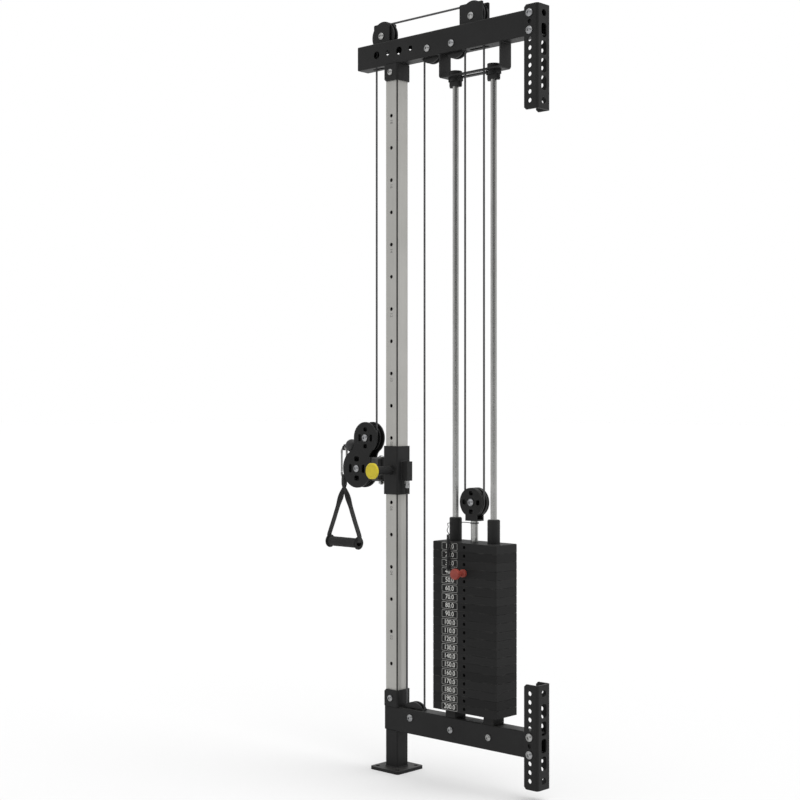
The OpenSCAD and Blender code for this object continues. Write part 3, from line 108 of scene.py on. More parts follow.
def skin(name, rows, loop=False):
    """Mesh over a grid of points: row i is a closed ring, joined to row i + 1.

    A loop joins the last ring to the first, and other skins are capped. The UV map holds lengths in metres,
    u round the ring and v along the rows."""
    count, width = rows.shape[:2]
    spans = count if loop else count - 1
    i, k = np.meshgrid(np.arange(spans), np.arange(width), indexing="ij")
    right, ahead = (k + 1) % width, (i + 1) % count
    faces = np.stack([i * width + k, i * width + right, ahead * width + right, ahead * width + k], -1)
    v = lengths_along(rows.mean(axis=1), loop)
    u = lengths_along(rows[0], True)
    corner_uv = np.stack([
        np.stack([u[k], v[i]], -1), np.stack([u[k + 1], v[i]], -1),
        np.stack([u[k + 1], v[i + 1]], -1), np.stack([u[k], v[i + 1]], -1)], 2)
    polygons = faces.reshape(-1, 4).tolist()
    uv = corner_uv.reshape(-1, 2)
    if not loop:
        ring = np.arange(width)
        polygons += [ring[::-1].tolist(), (ring + (count - 1) * width).tolist()]
        uv = np.vstack([uv, np.stack([u[:width], np.full(width, v[0])], -1)[::-1],
                        np.stack([u[:width], np.full(width, v[-1])], -1)])
    mesh = bpy.data.meshes.new(name)
    mesh.from_pydata(rows.reshape(-1, 3).tolist(), [], polygons)
    mesh.uv_layers.new(name="UVMap").data.foreach_set("uv", uv.astype(np.float32).ravel())
    return placed(name, mesh)


def added(name, data):
    """A new object in the scene, at the origin."""
    thing = bpy.data.objects.new(name, data)
    bpy.context.scene.collection.objects.link(thing)
    return thing


def placed(name, mesh):
    """A smooth-shaded piece at the origin, with its edges sharp past SHARP_ANGLE."""
    mesh.polygons.foreach_set("use_smooth", np.ones(len(mesh.polygons), bool))
    mesh.set_sharp_from_angle(angle=SHARP_ANGLE)
    mesh.update()
    return added(name, mesh)


def points_of(mesh):
    """A mesh's points as an array, one to a row."""
    co = np.empty(len(mesh.vertices) * 3, np.float32)
    mesh.vertices.foreach_get("co", co)
    return co.reshape(-1, 3)


def directions(path, closed=False):
    """Unit tangent at each point: the chord between its two neighbours."""
    if closed:
        chord = np.roll(path, -1, 0) - np.roll(path, 1, 0)
    else:
        chord = np.gradient(path, axis=0)
    return chord / np.linalg.norm(chord, axis=1, keepdims=True)


def carried(path, outline, side, scale=1.0, closed=False):
    """Rings of an outline carried along a path: point + scale * (a * side + b * (tangent x side)).

    side is squared up to the tangent, so that each ring stands across the path."""
    tangent = directions(path, closed)
    side = np.broadcast_to(side, path.shape)
    side = side - (side * tangent).sum(1, keepdims=True) * tangent
    side = side / np.linalg.norm(side, axis=1, keepdims=True)
    up = np.cross(tangent, side)
    scale = np.broadcast_to(np.asarray(scale, float).reshape(-1, 1) if np.ndim(scale) == 1 else scale,
                            (len(path), 2))
    a = outline[None, :, 0] * scale[:, :1]
    b = outline[None, :, 1] * scale[:, 1:]
    return path[:, None] + a[..., None] * side[:, None] + b[..., None] * up[:, None]


def round_outline(radius, sides):
    """Points of a circle: radius * (cos t, sin t)."""
    t = np.arange(sides) / sides * 2 * np.pi
    return radius * np.stack([np.cos(t), np.sin(t)], -1)


def band_outline(width, thickness, corner, per_corner=4):
    """A rectangle whose corners are quarter circles, anticlockwise."""
    turn = np.linspace(0, np.pi / 2, per_corner)
    centres = np.array([[1, 1], [-1, 1], [-1, -1], [1, -1]]) * [width / 2 - corner, thickness / 2 - corner]
    angles = turn[None, :] + (np.arange(4) * np.pi / 2)[:, None]
    return (centres[:, None] + corner * np.stack([np.cos(angles), np.sin(angles)], -1)).reshape(-1, 2)


def arc(centre, radius, start, end):
    """Points of an arc in the XZ plane: centre + radius * (cos t, 0, sin t), degrees from start to end."""
    t = np.radians(np.linspace(start, end, ARC_STEPS))
    return centre + radius * np.stack([np.cos(t), np.zeros_like(t), np.sin(t)], -1)


def straight(start, end, steps=2):
    """Evenly spaced points from start to end."""
    return np.linspace(start, end, steps)


def flowing(points, per_span=8):
    """Catmull-Rom curve through the points: each span is a cubic whose ends take the neighbours' chords."""
    p = np.asarray(points, float)
    p = np.vstack([2 * p[0] - p[1], p, 2 * p[-1] - p[-2]])
    t = np.linspace(0, 1, per_span, endpoint=False)[None, :, None]
    a, b, c, d = (p[n:len(p) - 3 + n, None] for n in range(4))
    curve = 0.5 * (2 * b + (c - a) * t + (2 * a - 5 * b + 4 * c - d) * t**2 + (3 * b - a - 3 * c + d) * t**3)
    return np.vstack([curve.reshape(-1, 3), p[-2:-1]])


def eased(x):
    """Smooth step from 0 to 1: 3 x^2 - 2 x^3 between the ends."""
    x = np.clip(x, 0, 1)
    return x * x * (3 - 2 * x)


def joined(name, meshes, material):
    """One piece out of several objects' meshes, which are removed."""
    points, faces, uv, offset = [], [], [], 0
    for source in meshes:
        mesh = source.data
        points.append(points_of(mesh))
        faces += [[v + offset for v in polygon.vertices] for polygon in mesh.polygons]
        offset += len(mesh.vertices)
        flat = np.zeros(len(mesh.loops) * 2, np.float32)
        if mesh.uv_layers:
            mesh.uv_layers[0].data.foreach_get("uv", flat)
        uv.append(flat)
        bpy.data.objects.remove(source)
    whole = bpy.data.meshes.new(name)
    whole.from_pydata(np.vstack(points).tolist(), [], faces)
    whole.uv_layers.new(name="UVMap").data.foreach_set("uv", np.concatenate(uv))
    piece = placed(name, whole)
    whole.materials.append(material)
    return piece


def dressed(piece, material):
    """Gives a new piece its material."""
    piece.data.materials.append(material)
    return piece


# Shader nodes, placed and joined

def put(tree, kind, feeds=None, **settings):
    """Places one shader node with its settings, its inputs set to values or joined to other outputs."""
    node = tree.nodes.new("ShaderNode" + kind)
    for key, value in settings.items():
        setattr(node, key, value)
    for key, value in (feeds or {}).items():
        if isinstance(value, bpy.types.NodeSocket):
            tree.links.new(value, node.inputs[key])
        else:
            node.inputs[key].default_value = value
    return node


def worked(tree, operation, *values):
    """Output of one Math node."""
    return put(tree, "Math", dict(enumerate(values)), operation=operation).outputs[0]


def mixed(tree, share, first, second):
    """Output of a colour mix: first where share is 0, second where it is 1."""
    return put(tree, "Mix", {0: share, 6: first, 7: second}, data_type="RGBA").outputs[2]


def spread(tree, value, low, high, to_low=0.0, to_high=1.0):
    """A value between low and high carried over to another span."""
    return put(tree, "MapRange", {0: value, 1: low, 2: high, 3: to_low, 4: to_high}).outputs[0]


def where_on(tree):
    """Place on the object, in metres."""
    return put(tree, "TexCoord").outputs["Object"]


def noise(tree, scale, detail, roughness=0.5, where=None):
    """Share of cloudy noise at a place, on the object unless another is given."""
    place = where_on(tree) if where is None else where
    feeds = {"Vector": place, "Scale": scale, "Detail": detail, "Roughness": roughness}
    return put(tree, "TexNoise", feeds).outputs["Fac"]


def effect(name, inputs, outputs):
    """A shared node group with named inputs and outputs, and its two end nodes."""
    group = bpy.data.node_groups.new(name, "ShaderNodeTree")
    for label, kind, value in inputs:
        socket = group.interface.new_socket(label, in_out="INPUT", socket_type=kind)
        socket.default_value = value
    for label, kind in outputs:
        group.interface.new_socket(label, in_out="OUTPUT", socket_type=kind)
    return group, group.nodes.new("NodeGroupInput"), group.nodes.new("NodeGroupOutput")


FLOAT, COLOUR, VECTOR = "NodeSocketFloat", "NodeSocketColor", "NodeSocketVector"


def tone_drift():
    """Colour that drifts between two near tones in soft clouds: noise between 0.35 and 0.65."""
    tree, given, gives = effect(
        "tone_drift",
        [("Base", COLOUR, (0, 0, 0, 1)), ("Other", COLOUR, (0, 0, 0, 1)), ("Scale", FLOAT, 8.0)],
        [("Colour", COLOUR), ("Share", FLOAT)])
    share = spread(tree, noise(tree, given.outputs["Scale"], 4.0), 0.35, 0.65)
    tree.links.new(mixed(tree, share, given.outputs["Base"], given.outputs["Other"]), gives.inputs["Colour"])
    tree.links.new(share, gives.inputs["Share"])
    return tree


def fine_peel():
    """Orange peel of a sprayed coat: coarse and fine noise added, with specks where the fine one peaks."""
    tree, given, gives = effect(
        "fine_peel", [("Scale", FLOAT, 700.0)], [("Height", FLOAT), ("Specks", FLOAT)])
    coarse = noise(tree, given.outputs["Scale"], 2.0)
    fine = noise(tree, worked(tree, "MULTIPLY", given.outputs["Scale"], 3.1), 1.0)
    tree.links.new(worked(tree, "MULTIPLY_ADD", fine, 0.35, coarse), gives.inputs["Height"])
    tree.links.new(spread(tree, fine, 0.62, 0.72), gives.inputs["Specks"])
    return tree


def edge_wear_and_highlight():
    """Mask of edges: how far the softened normal leans away from the true one, broken up by noise. It marks
    rubbed wear, and also edges that are painted lighter as a highlight.
    """
    tree, given, gives = effect(
        "edge_wear_and_highlight", [("Width", FLOAT, 0.0015), ("Gain", FLOAT, 6.0)], [("Mask", FLOAT)])
    soft = put(tree, "Bevel", {"Radius": given.outputs["Width"]}, samples=4).outputs["Normal"]
    true = put(tree, "NewGeometry").outputs["True Normal"]
    lean = put(tree, "VectorMath", {0: soft, 1: true}, operation="DOT_PRODUCT").outputs["Value"]
    rise = worked(tree, "MULTIPLY", worked(tree, "SUBTRACT", 1.0, lean), given.outputs["Gain"])
    mask = worked(tree, "MULTIPLY", rise, spread(tree, noise(tree, 60.0, 5.0), 0.35, 0.7))
    tree.links.new(put(tree, "Clamp", {0: mask}).outputs[0], gives.inputs["Mask"])
    return tree


def settled_dust():
    """Mask of dust on what faces up: the normal's height past 0.6, times patchy noise."""
    tree, given, gives = effect("settled_dust", [("Amount", FLOAT, 0.3)], [("Mask", FLOAT)])
    up = put(tree, "SeparateXYZ", {0: put(tree, "NewGeometry").outputs["Normal"]}).outputs["Z"]
    patches = spread(tree, noise(tree, 22.0, 6.0), 0.3, 0.75)
    mask = worked(tree, "MULTIPLY", spread(tree, up, 0.6, 1.0), patches)
    tree.links.new(worked(tree, "MULTIPLY", mask, given.outputs["Amount"]), gives.inputs["Mask"])
    return tree


def drawn_lines():
    """Fine lines left by drawing, grinding or turning: noise squeezed across the line direction."""
    tree, given, gives = effect(
        "drawn_lines", [("Stretch", VECTOR, (1.0, 1.0, 1.0))], [("Share", FLOAT), ("Height", FLOAT)])
    factors = {0: where_on(tree), 1: given.outputs["Stretch"]}
    squeezed = put(tree, "VectorMath", factors, operation="MULTIPLY")
    lines = noise(tree, 1.0, 3.0, where=squeezed.outputs[0])
    tree.links.new(spread(tree, lines, 0.3, 0.7), gives.inputs["Share"])
    tree.links.new(lines, gives.inputs["Height"])
    return tree


def strand_lay():
    """Ridges of the steel strands under a cable's coat: |sin| of the turn round the cable plus its lay."""
    tree, given, gives = effect(
        "strand_lay", [("Girth", FLOAT, 0.0173), ("Lay", FLOAT, 0.03), ("Strands", FLOAT, 6.0)],
        [("Height", FLOAT)])
    uv = put(tree, "SeparateXYZ", {0: put(tree, "TexCoord").outputs["UV"]})
    turn = worked(tree, "DIVIDE", uv.outputs["X"], given.outputs["Girth"])
    along = worked(tree, "DIVIDE", uv.outputs["Y"], given.outputs["Lay"])
    phase = worked(tree, "MULTIPLY", worked(tree, "ADD", turn, along), given.outputs["Strands"])
    wave = worked(tree, "ABSOLUTE", worked(tree, "SINE", worked(tree, "MULTIPLY", phase, math.pi)))
    tree.links.new(wave, gives.inputs["Height"])
    return tree


def waves(tree, way, length):
    """Even waves along a way: sin(2 pi way / length)."""
    count = worked(tree, "DIVIDE", way, length)
    return worked(tree, "SINE", worked(tree, "MULTIPLY", count, 2 * math.pi))


def twill():
    """Woven webbing on its UV lengths: diagonal ribs that turn back every few threads, and cross threads."""
    tree, given, gives = effect(
        "twill", [("Thread", FLOAT, 0.0011), ("Turn", FLOAT, 0.0048)], [("Height", FLOAT), ("Tone", FLOAT)])
    uv = put(tree, "SeparateXYZ", {0: put(tree, "TexCoord").outputs["UV"]})
    zigzag = worked(tree, "PINGPONG", uv.outputs["X"], given.outputs["Turn"])
    slant = worked(tree, "ADD", zigzag, uv.outputs["Y"])
    rib = waves(tree, slant, given.outputs["Thread"])
    cross = waves(tree, uv.outputs["X"], given.outputs["Thread"])
    height = worked(tree, "MULTIPLY_ADD", cross, 0.35, rib)
    fuzz = put(tree, "TexNoise", {"Vector": where_on(tree), "Scale": 2600.0})
    tree.links.new(worked(tree, "MULTIPLY_ADD", fuzz.outputs["Fac"], 0.8, height), gives.inputs["Height"])
    tree.links.new(spread(tree, height, -1.3, 1.3), gives.inputs["Tone"])
    return tree


TONE, PEEL, EDGES, DUST = tone_drift(), fine_peel(), edge_wear_and_highlight(), settled_dust()
LINES, LAY, TWILL = drawn_lines(), strand_lay(), twill()


def shared(tree, group, **values):
    """Places a shared effect in a material, its inputs given by name."""
    node = tree.nodes.new("ShaderNodeGroup")
    node.node_tree = group
    for key, value in values.items():
        node.inputs[key.capitalize()].default_value = value
    return node.outputs


def srgb(r, g, b):
    """A colour as a picture shows it, in 0 to 255, as the shader's linear values."""
    c = np.array([r, g, b]) / 255
    linear = np.where(c <= 0.04045, c / 12.92, ((c + 0.055) / 1.055) ** 2.4)
    return (*linear.tolist(), 1.0)


def blank_tree(owner):
    """The emptied shader tree of a material or of the world."""
    owner.use_nodes = True
    owner.node_tree.nodes.clear()
    return owner.node_tree


def finish(name, **even):
    """A material with its shader; even values are set on the shader's own sockets."""
    material = bpy.data.materials.new(name)
    tree = blank_tree(material)
    shader = put(tree, "BsdfPrincipled")
    for key, value in even.items():
        shader.inputs[key.replace("_", " ").title().replace("Ior", "IOR")].default_value = value
    tree.links.new(shader.outputs[0], put(tree, "OutputMaterial").inputs["Surface"])
    return material, tree, shader


def coloured(tree, shader, colour):
    """Feeds the shader's base colour."""
    tree.links.new(colour, shader.inputs["Base Color"])


def roughened(tree, shader, share, gain, base):
    """Feeds the shader's roughness: share * gain + base."""
    tree.links.new(worked(tree, "MULTIPLY_ADD", share, gain, base), shader.inputs["Roughness"])


def raised(tree, shader, height, depth):
    """Lets a height in 0 to 1 stand out by a depth in metres."""
    bump = put(tree, "Bump", {"Height": height, "Distance": depth, "Strength": 1.0})
    tree.links.new(bump.outputs[0], shader.inputs["Normal"])


def powder_coat(name, colour, other, rough=0.42, dusty=0.25):
    """Black powder coat on tube and plate: orange peel, drifting tone, thin bright edges that are partly
    worn powder and partly a painted highlight, a little dust.
    """
    material, tree, shader = finish(name, specular_ior_level=0.14)
    peel = shared(tree, PEEL, scale=620.0)
    tone = shared(tree, TONE, base=colour, other=other, scale=9.0)
    specked = mixed(tree, worked(tree, "MULTIPLY", peel["Specks"], 0.25), tone["Colour"], srgb(66, 66, 67))
    edge = worked(tree, "MULTIPLY", shared(tree, EDGES, width=0.0016, gain=4.0)["Mask"], 0.55)
    # edges lightened towards grey: partly thin powder, partly painted highlight
    edged = mixed(tree, edge, specked, srgb(82, 82, 83))
    dust = shared(tree, DUST, amount=dusty)["Mask"]
    coloured(tree, shader, mixed(tree, dust, edged, srgb(108, 107, 104)))
    roughened(tree, shader, dust, 0.4, worked(tree, "MULTIPLY_ADD", tone["Share"], 0.08, rough))
    raised(tree, shader, peel["Height"], 0.09 * MM)
    return material


def bare_metal(name, colour, other, rough, metallic, stretch, depth, edge_colour):
    """Drawn, ground or plated metal: fine lines one way, clouded shine, and bright edges that are partly
    rubbed wear and partly a painted highlight.
    """
    material, tree, shader = finish(name, metallic=metallic)
    lines = shared(tree, LINES, stretch=stretch)
    tone = shared(tree, TONE, base=colour, other=other, scale=14.0)
    lined = mixed(tree, worked(tree, "MULTIPLY", lines["Share"], 0.3), tone["Colour"], other)
    edge = worked(tree, "MULTIPLY", shared(tree, EDGES, width=0.0012, gain=3.0)["Mask"], 0.6)
    # edge colour: partly rubbed wear, partly painted highlight
    coloured(tree, shader, mixed(tree, edge, lined, edge_colour))
    roughened(tree, shader, tone["Share"], 0.06, worked(tree, "MULTIPLY_ADD", lines["Share"], 0.12, rough))
    raised(tree, shader, lines["Height"], depth)
    return material


def column_satin():
    """Satin column tube: lines drawn along it, and rolled corners with painted shade on those that turn
    towards the stack and a painted highlight on those that turn to the front.

    The corner's tone follows nx * |ny| of the normal: 0 on the flats and 0.5 midway round a corner."""
    material, tree, shader = finish("column_satin", metallic=0.5, specular_ior_level=0.3)
    lines = shared(tree, LINES, stretch=(420.0, 420.0, 3.0))
    cloud = spread(tree, noise(tree, 5.0, 5.0), 0.35, 0.65)
    flat = mixed(tree, cloud, srgb(175, 174, 170), srgb(168, 167, 163))
    drawn = mixed(tree, worked(tree, "MULTIPLY", lines["Share"], 0.12), flat, srgb(142, 141, 137))
    facing = put(tree, "SeparateXYZ", {0: put(tree, "NewGeometry").outputs["Normal"]})
    bend = worked(tree, "MULTIPLY", facing.outputs["X"], worked(tree, "ABSOLUTE", facing.outputs["Y"]))
    # painted shade: corners that turn towards the stack are darkened nearly to black by their direction
    painted_corner_shade = mixed(tree, spread(tree, bend, 0.1, 0.32), drawn, srgb(54, 53, 51))
    # painted highlight: corners that turn to the front are made paler by their direction
    coloured(tree, shader, mixed(tree, spread(tree, bend, -0.1, -0.4), painted_corner_shade, srgb(196, 197, 192)))
    roughened(tree, shader, lines["Share"], 0.1, 0.42)
    raised(tree, shader, lines["Height"], 0.03 * MM)
    return material


def moulded(name, colour, other, rough, grain=900.0, depth=0.06 * MM, edge_colour=None):
    """Moulded plastic or rubber: fine grain, faint clouding, and paler edges that are partly rubbed wear and
    partly a painted highlight.
    """
    material, tree, shader = finish(name, specular_ior_level=0.25)
    peel = shared(tree, PEEL, scale=grain)
    tone = shared(tree, TONE, base=colour, other=other, scale=40.0)
    edge = worked(tree, "MULTIPLY", shared(tree, EDGES, width=0.001, gain=4.0)["Mask"], 0.5)
    # paler edges: partly rubbed wear, partly painted highlight
    coloured(tree, shader, mixed(tree, edge, tone["Colour"], edge_colour or other))
    roughened(tree, shader, tone["Share"], 0.08, worked(tree, "MULTIPLY_ADD", peel["Specks"], 0.1, rough))
    raised(tree, shader, peel["Height"], depth)
    return material


def plate_enamel():
    """Black enamel on the weight plates: each plate a shade of its own, scuffs near the rims, fine grit."""
    material, tree, shader = finish("plate_enamel", specular_ior_level=0.05)
    height = put(tree, "SeparateXYZ", {0: where_on(tree)}).outputs["Z"]
    rise = worked(tree, "SUBTRACT", height, PLATES_FOOT)
    count = worked(tree, "FLOOR", worked(tree, "DIVIDE", rise, PLATE_STEP))
    own = put(tree, "TexWhiteNoise", {"W": count}, noise_dimensions="1D").outputs["Value"]
    shade = mixed(tree, own, srgb(33, 33, 33), srgb(40, 40, 40))
    peel = shared(tree, PEEL, scale=480.0)
    grit = mixed(tree, worked(tree, "MULTIPLY", peel["Specks"], 0.22), shade, srgb(64, 63, 62))
    scuffs = spread(tree, noise(tree, 34.0, 7.0, roughness=0.7), 0.45, 0.62, 0.1, 0.9)
    worn = worked(tree, "MULTIPLY", shared(tree, EDGES, width=0.002, gain=5.0)["Mask"], scuffs)
    grey = srgb(84, 83, 81)
    dust = shared(tree, DUST, amount=0.08)["Mask"]
    coloured(tree, shader, mixed(tree, dust, mixed(tree, worn, grit, grey), grey))
    roughened(tree, shader, own, 0.1, 0.44)
    raised(tree, shader, peel["Height"], 0.14 * MM)
    return material


def cable_coat():
    """Dark nylon over steel rope: strand ridges under a smooth skin, rubbed dull where it runs."""
    material, tree, shader = finish("cable_coat", specular_ior_level=0.25)
    ridge = shared(tree, LAY, girth=2 * math.pi * CABLE_R, lay=0.028, strands=6.0)["Height"]
    tone = noise(tree, 55.0, 4.0)
    base = mixed(tree, spread(tree, tone, 0.35, 0.65), srgb(66, 66, 67), srgb(76, 76, 77))
    coloured(tree, shader, mixed(tree, worked(tree, "MULTIPLY", ridge, 0.12), base, srgb(88, 88, 88)))
    tree.links.new(spread(tree, tone, 0.3, 0.7, 0.32, 0.48), shader.inputs["Roughness"])
    raised(tree, shader, ridge, 0.06 * MM)
    return material


def webbing():
    """Black polyester webbing: zigzag twill with a dry sheen, paler where the threads stand up."""
    material, tree, shader = finish("webbing", sheen_weight=0.1, sheen_roughness=0.5, specular_ior_level=0.2)
    weave = shared(tree, TWILL, thread=0.0013, turn=0.0048)
    coloured(tree, shader, mixed(tree, weave["Tone"], srgb(24, 24, 24), srgb(50, 50, 49)))
    tree.links.new(spread(tree, weave["Tone"], 0.0, 1.0, 0.85, 0.68), shader.inputs["Roughness"])
    raised(tree, shader, weave["Height"], 0.25 * MM)
    return material


def foam():
    """Closed-cell foam: small open pores with painted shade in them, over soft lumps, matt."""
    material, tree, shader = finish("foam", specular_ior_level=0.2)
    pores = put(tree, "TexVoronoi", {"Vector": where_on(tree), "Scale": 1500.0}).outputs["Distance"]
    pit = spread(tree, pores, 0.15, 0.5)
    lumps = noise(tree, 160.0, 4.0)
    lumpy = mixed(tree, lumps, srgb(40, 40, 40), srgb(56, 56, 55))
    # painted shade: the pores are darkened towards black
    coloured(tree, shader, mixed(tree, pit, srgb(24, 24, 24), lumpy))
    tree.links.new(spread(tree, lumps, 0.3, 0.7, 0.72, 0.9), shader.inputs["Roughness"])
    raised(tree, shader, worked(tree, "MULTIPLY_ADD", lumps, 0.6, pit), 0.3 * MM)
    return material


def print_ink(name, colour, gap_colour, cover):
    """Printed marks: ink that is thin in patches, so that the ground shows through."""
    material, tree, shader = finish(name)
    thin = noise(tree, 420.0, 5.0)
    coloured(tree, shader, mixed(tree, spread(tree, thin, cover, cover + 0.12), colour, gap_colour))
    tree.links.new(spread(tree, thin, 0.3, 0.7, 0.5, 0.65), shader.inputs["Roughness"])
    raised(tree, shader, thin, 0.03 * MM)
    return material


PLATE_COUNT = 20
LIFTED = 4
PLATE_GAP = 0.1 * MM
PLATES_FOOT = corners("resting_plates")[0][2]
PLATE_STEP = (HEAD_HIGH[2] - PLATES_FOOT + PLATE_GAP) / PLATE_COUNT

BLACK = powder_coat("black_coat", srgb(29, 29, 29), srgb(35, 35, 35))
HEAVY_BLACK = powder_coat("block_coat", srgb(25, 25, 25), srgb(30, 30, 30), rough=0.4, dusty=0.1)
ENAMEL = plate_enamel()
SILVER = column_satin()
ROD = bare_metal("ground_rod", srgb(168, 168, 166), srgb(156, 156, 154), 0.16, 0.9,
                 (40.0, 40.0, 4000.0), 0.0003 * MM, srgb(190, 190, 188))
ZINC = bare_metal("zinc_plate", srgb(172, 172, 170), srgb(156, 157, 160), 0.26, 0.85,
                  (900.0, 300.0, 900.0), 0.03 * MM, srgb(200, 200, 198))
YOKE_STEEL = bare_metal("yoke_steel", srgb(76, 76, 76), srgb(60, 60, 60), 0.4, 0.4,
                        (500.0, 500.0, 500.0), 0.03 * MM, srgb(150, 150, 148))
STEEL_HOOK = bare_metal("hook_steel", srgb(166, 166, 164), srgb(140, 140, 139), 0.3, 0.5,
                        (300.0, 300.0, 300.0), 0.03 * MM, srgb(198, 198, 196))
NYLON = moulded("wheel_nylon", srgb(22, 22, 22), srgb(29, 29, 29), 0.38, edge_colour=srgb(52, 52, 52))
RUBBER = moulded("black_rubber", srgb(25, 25, 25), srgb(33, 33, 32), 0.7, grain=1300.0, depth=0.1 * MM,
                 edge_colour=srgb(50, 50, 49))
LINER = moulded("pale_liner", srgb(206, 205, 198), srgb(188, 186, 178), 0.45)
YELLOW = moulded("yellow_knob", srgb(192, 175, 42), srgb(202, 185, 48), 0.42, edge_colour=srgb(222, 206, 84))
RED = moulded("red_knob", srgb(146, 66, 56), srgb(128, 54, 46), 0.38, edge_colour=srgb(186, 106, 92))
BALL = moulded("ball_rubber", srgb(44, 44, 44), srgb(54, 54, 54), 0.5, grain=700.0,
               edge_colour=srgb(70, 70, 70))
CURLY = moulded("curly_cord", srgb(20, 20, 21), srgb(28, 28, 29), 0.36)
CABLE, WEBBING, FOAM = cable_coat(), webbing(), foam()
LABEL_INK = print_ink("label_ink", srgb(214, 214, 210), srgb(150, 150, 148), 0.66)
LINE_INK = print_ink("line_ink", srgb(158, 158, 155), srgb(112, 112, 110), 0.6)
MARK_INK = print_ink("mark_ink", srgb(96, 95, 92), srgb(126, 125, 121), 0.62)
THREAD = moulded("sewing_thread", srgb(88, 88, 86), srgb(74, 74, 72), 0.7, grain=3000.0)


# Finishes of the CAD pieces that stay

CAD_FINISHES = {
    BLACK: ["foot_plate", "foot_post", "lower_arm", "column_collars", "upper_arm", "wall_brackets",
            "front_pulley_bracket", "rear_pulley_bracket", "rod_hanger", "rod_clamps", "guide_sleeves",
            "trolley_sleeve", "cable_anchor", "pop_pin_housing"],
    HEAVY_BLACK: ["stack_pulley_block", "block_cheeks"],
    ENAMEL: ["resting_plates", "head_plate", "selected_plates"],
    SILVER: ["column"],
    ROD: ["guide_rods", "lifting_stem", "pop_pin_plunger"],
    ZINC: ["bracket_bolts", "cross_bolts", "pulley_axles", "stack_axle", "cable_end_fitting", "hinge_pin",
           "block_axles", "selector_pin", "pop_pin_spring"],
    YOKE_STEEL: ["block_yoke"],
    STEEL_HOOK: ["carabiner", "carabiner_gate"],
    NYLON: ["front_top_pulley", "rear_top_pulley", "inner_front_pulley", "inner_rear_pulley", "lower_pulley",
            "stack_pulley", "block_upper_pulley", "block_lower_pulley"],
    RUBBER: ["arm_end_plugs", "rubber_bumpers", "handle_core"],
    LINER: ["sleeve_liners"],
    YELLOW: ["pop_pin_knob"],
    RED: ["selector_knob"],
    BALL: ["ball_stop"],
}


def dress_cad():
    """Gives each CAD piece that stays its finish."""
    for material, names in CAD_FINISHES.items():
        for name in names:
            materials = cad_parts[name].data.materials
            materials.clear()
            materials.append(material)


# The camera of the photograph: millimetres of lens, metres of place, degrees of turn about Z

FOCAL_LENGTH = 67.1
FILM_WIDTH = 36.0
CAMERA_PLACE = (3.2308, -3.4397, 1.1663)
CAMERA_TURN = 43.084


def photo_camera():
    """A level camera at standing height, turned to look between the selector side and the wall."""
    lens = bpy.data.cameras.new("photo_camera")
    lens.lens = FOCAL_LENGTH
    lens.sensor_width = FILM_WIDTH
    camera = added("photo_camera", lens)
    camera.location = CAMERA_PLACE
    camera.rotation_euler = (math.radians(90), 0, math.radians(CAMERA_TURN))
    bpy.context.scene.camera = camera


# The selector pin's curly cord

COIL_R = 4.9 * MM
COIL_WIRE = 2.4 * MM
WIRE_SIDES = 10
COIL_PITCH = 3.2 * MM
COIL_TURNS = 34
CURL_STEPS = 16
COIL_TOP = np.array([268.0, -57.5, 761.1]) * MM
# The lead from the curls up to the stem, and the tail from their foot towards the pin
LEAD_STEPS = np.array([
    [4.9, -4.8, 2.6], [-4, -2, 12], [-12, 12, 21], [-26, 26, 26], [-42, 44, 28], [-46, 60, 29],
    [-36, 76, 30], [-14, 82, 31], [10, 76, 32], [28, 66, 33], [41, 58.5, 34]]) * MM
TAIL_STEPS = np.array([[4.9, 4.8, -2], [9, 4, -8], [18, 2, -12], [28, 1, -13], [34, 1.5, -10]]) * MM
TAIL_END_BACK = 11.8 * MM
TAIL_END_OUT = 4.8 * MM
RING_RISE = 34 * MM
RING_SIDES = 48
RING_GAP = 1.2 * MM
RING_W, RING_T, RING_CORNER = 4 * MM, 2.2 * MM, 0.8 * MM


def selector_cord():
    """One tube: from the ring on the stem along the lead, then a helix. Its tail to the pin is apart.

    The helix is COIL_R * (cos t, sin t), a pitch lower with each turn."""
    wire = round_outline(COIL_WIRE / 2, WIRE_SIDES)
    turn = np.arange(COIL_TURNS * CURL_STEPS + 1) / CURL_STEPS
    angle = 2 * np.pi * turn
    drop = np.stack([COIL_R * np.cos(angle), COIL_R * np.sin(angle), -COIL_PITCH * turn], -1)
    curls = COIL_TOP + drop
    lead = flowing(COIL_TOP + LEAD_STEPS[::-1], 10)
    path = np.vstack([lead[:-1], curls])
    cord = dressed(skin("lanyard_curls", carried(path, wire, (0.0, 0.0, 1.0))), CURLY)
    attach(cord, "lift")
    foot = COIL_TOP - [0, 0, COIL_PITCH * COIL_TURNS]
    pin_end = np.array([STACK_X - TAIL_END_BACK, HEAD_LOW[1] - TAIL_END_OUT, middle("selector_pin")[2]])
    tail_path = flowing(np.vstack([curls[-1:], foot + TAIL_STEPS, pin_end]), 8)
    tail = dressed(skin("lanyard_tail", carried(tail_path, wire, (0.0, 1.0, 0.1))), CURLY)
    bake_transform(tail)
    stem_low, stem_high = corners("lifting_stem")
    around = round_outline((stem_high[0] - stem_low[0]) / 2 + RING_GAP, RING_SIDES)
    heights = np.full(RING_SIDES, COIL_TOP[2] + RING_RISE)
    ring_path = np.column_stack([around[:, 0] + STACK_X, around[:, 1], heights])
    hoop = carried(ring_path, band_outline(RING_W, RING_T, RING_CORNER), (0.0, 0.0, 1.0), closed=True)
    ring = dressed(skin("lanyard_ring", hoop, loop=True), YOKE_STEEL)
    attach(ring, "lift")
    for piece in (cord, tail, ring):
        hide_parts("selector_lanyard")


# The steel cable on its eight pulleys

BLOCK_TOP_Z = corners("block_cable")[1][2]
# The stretch over the block that leans when the block swivels
LEAD_IN = 80 * MM
BALL_ENTRY = 1 * MM
CABLE_SIDES = 16


def rope(name, path):
    """A stretch of the coated cable: a circle carried along its path."""
    return dressed(skin(name, carried(path, round_outline(CABLE_R, CABLE_SIDES), Y_AXIS)), CABLE)


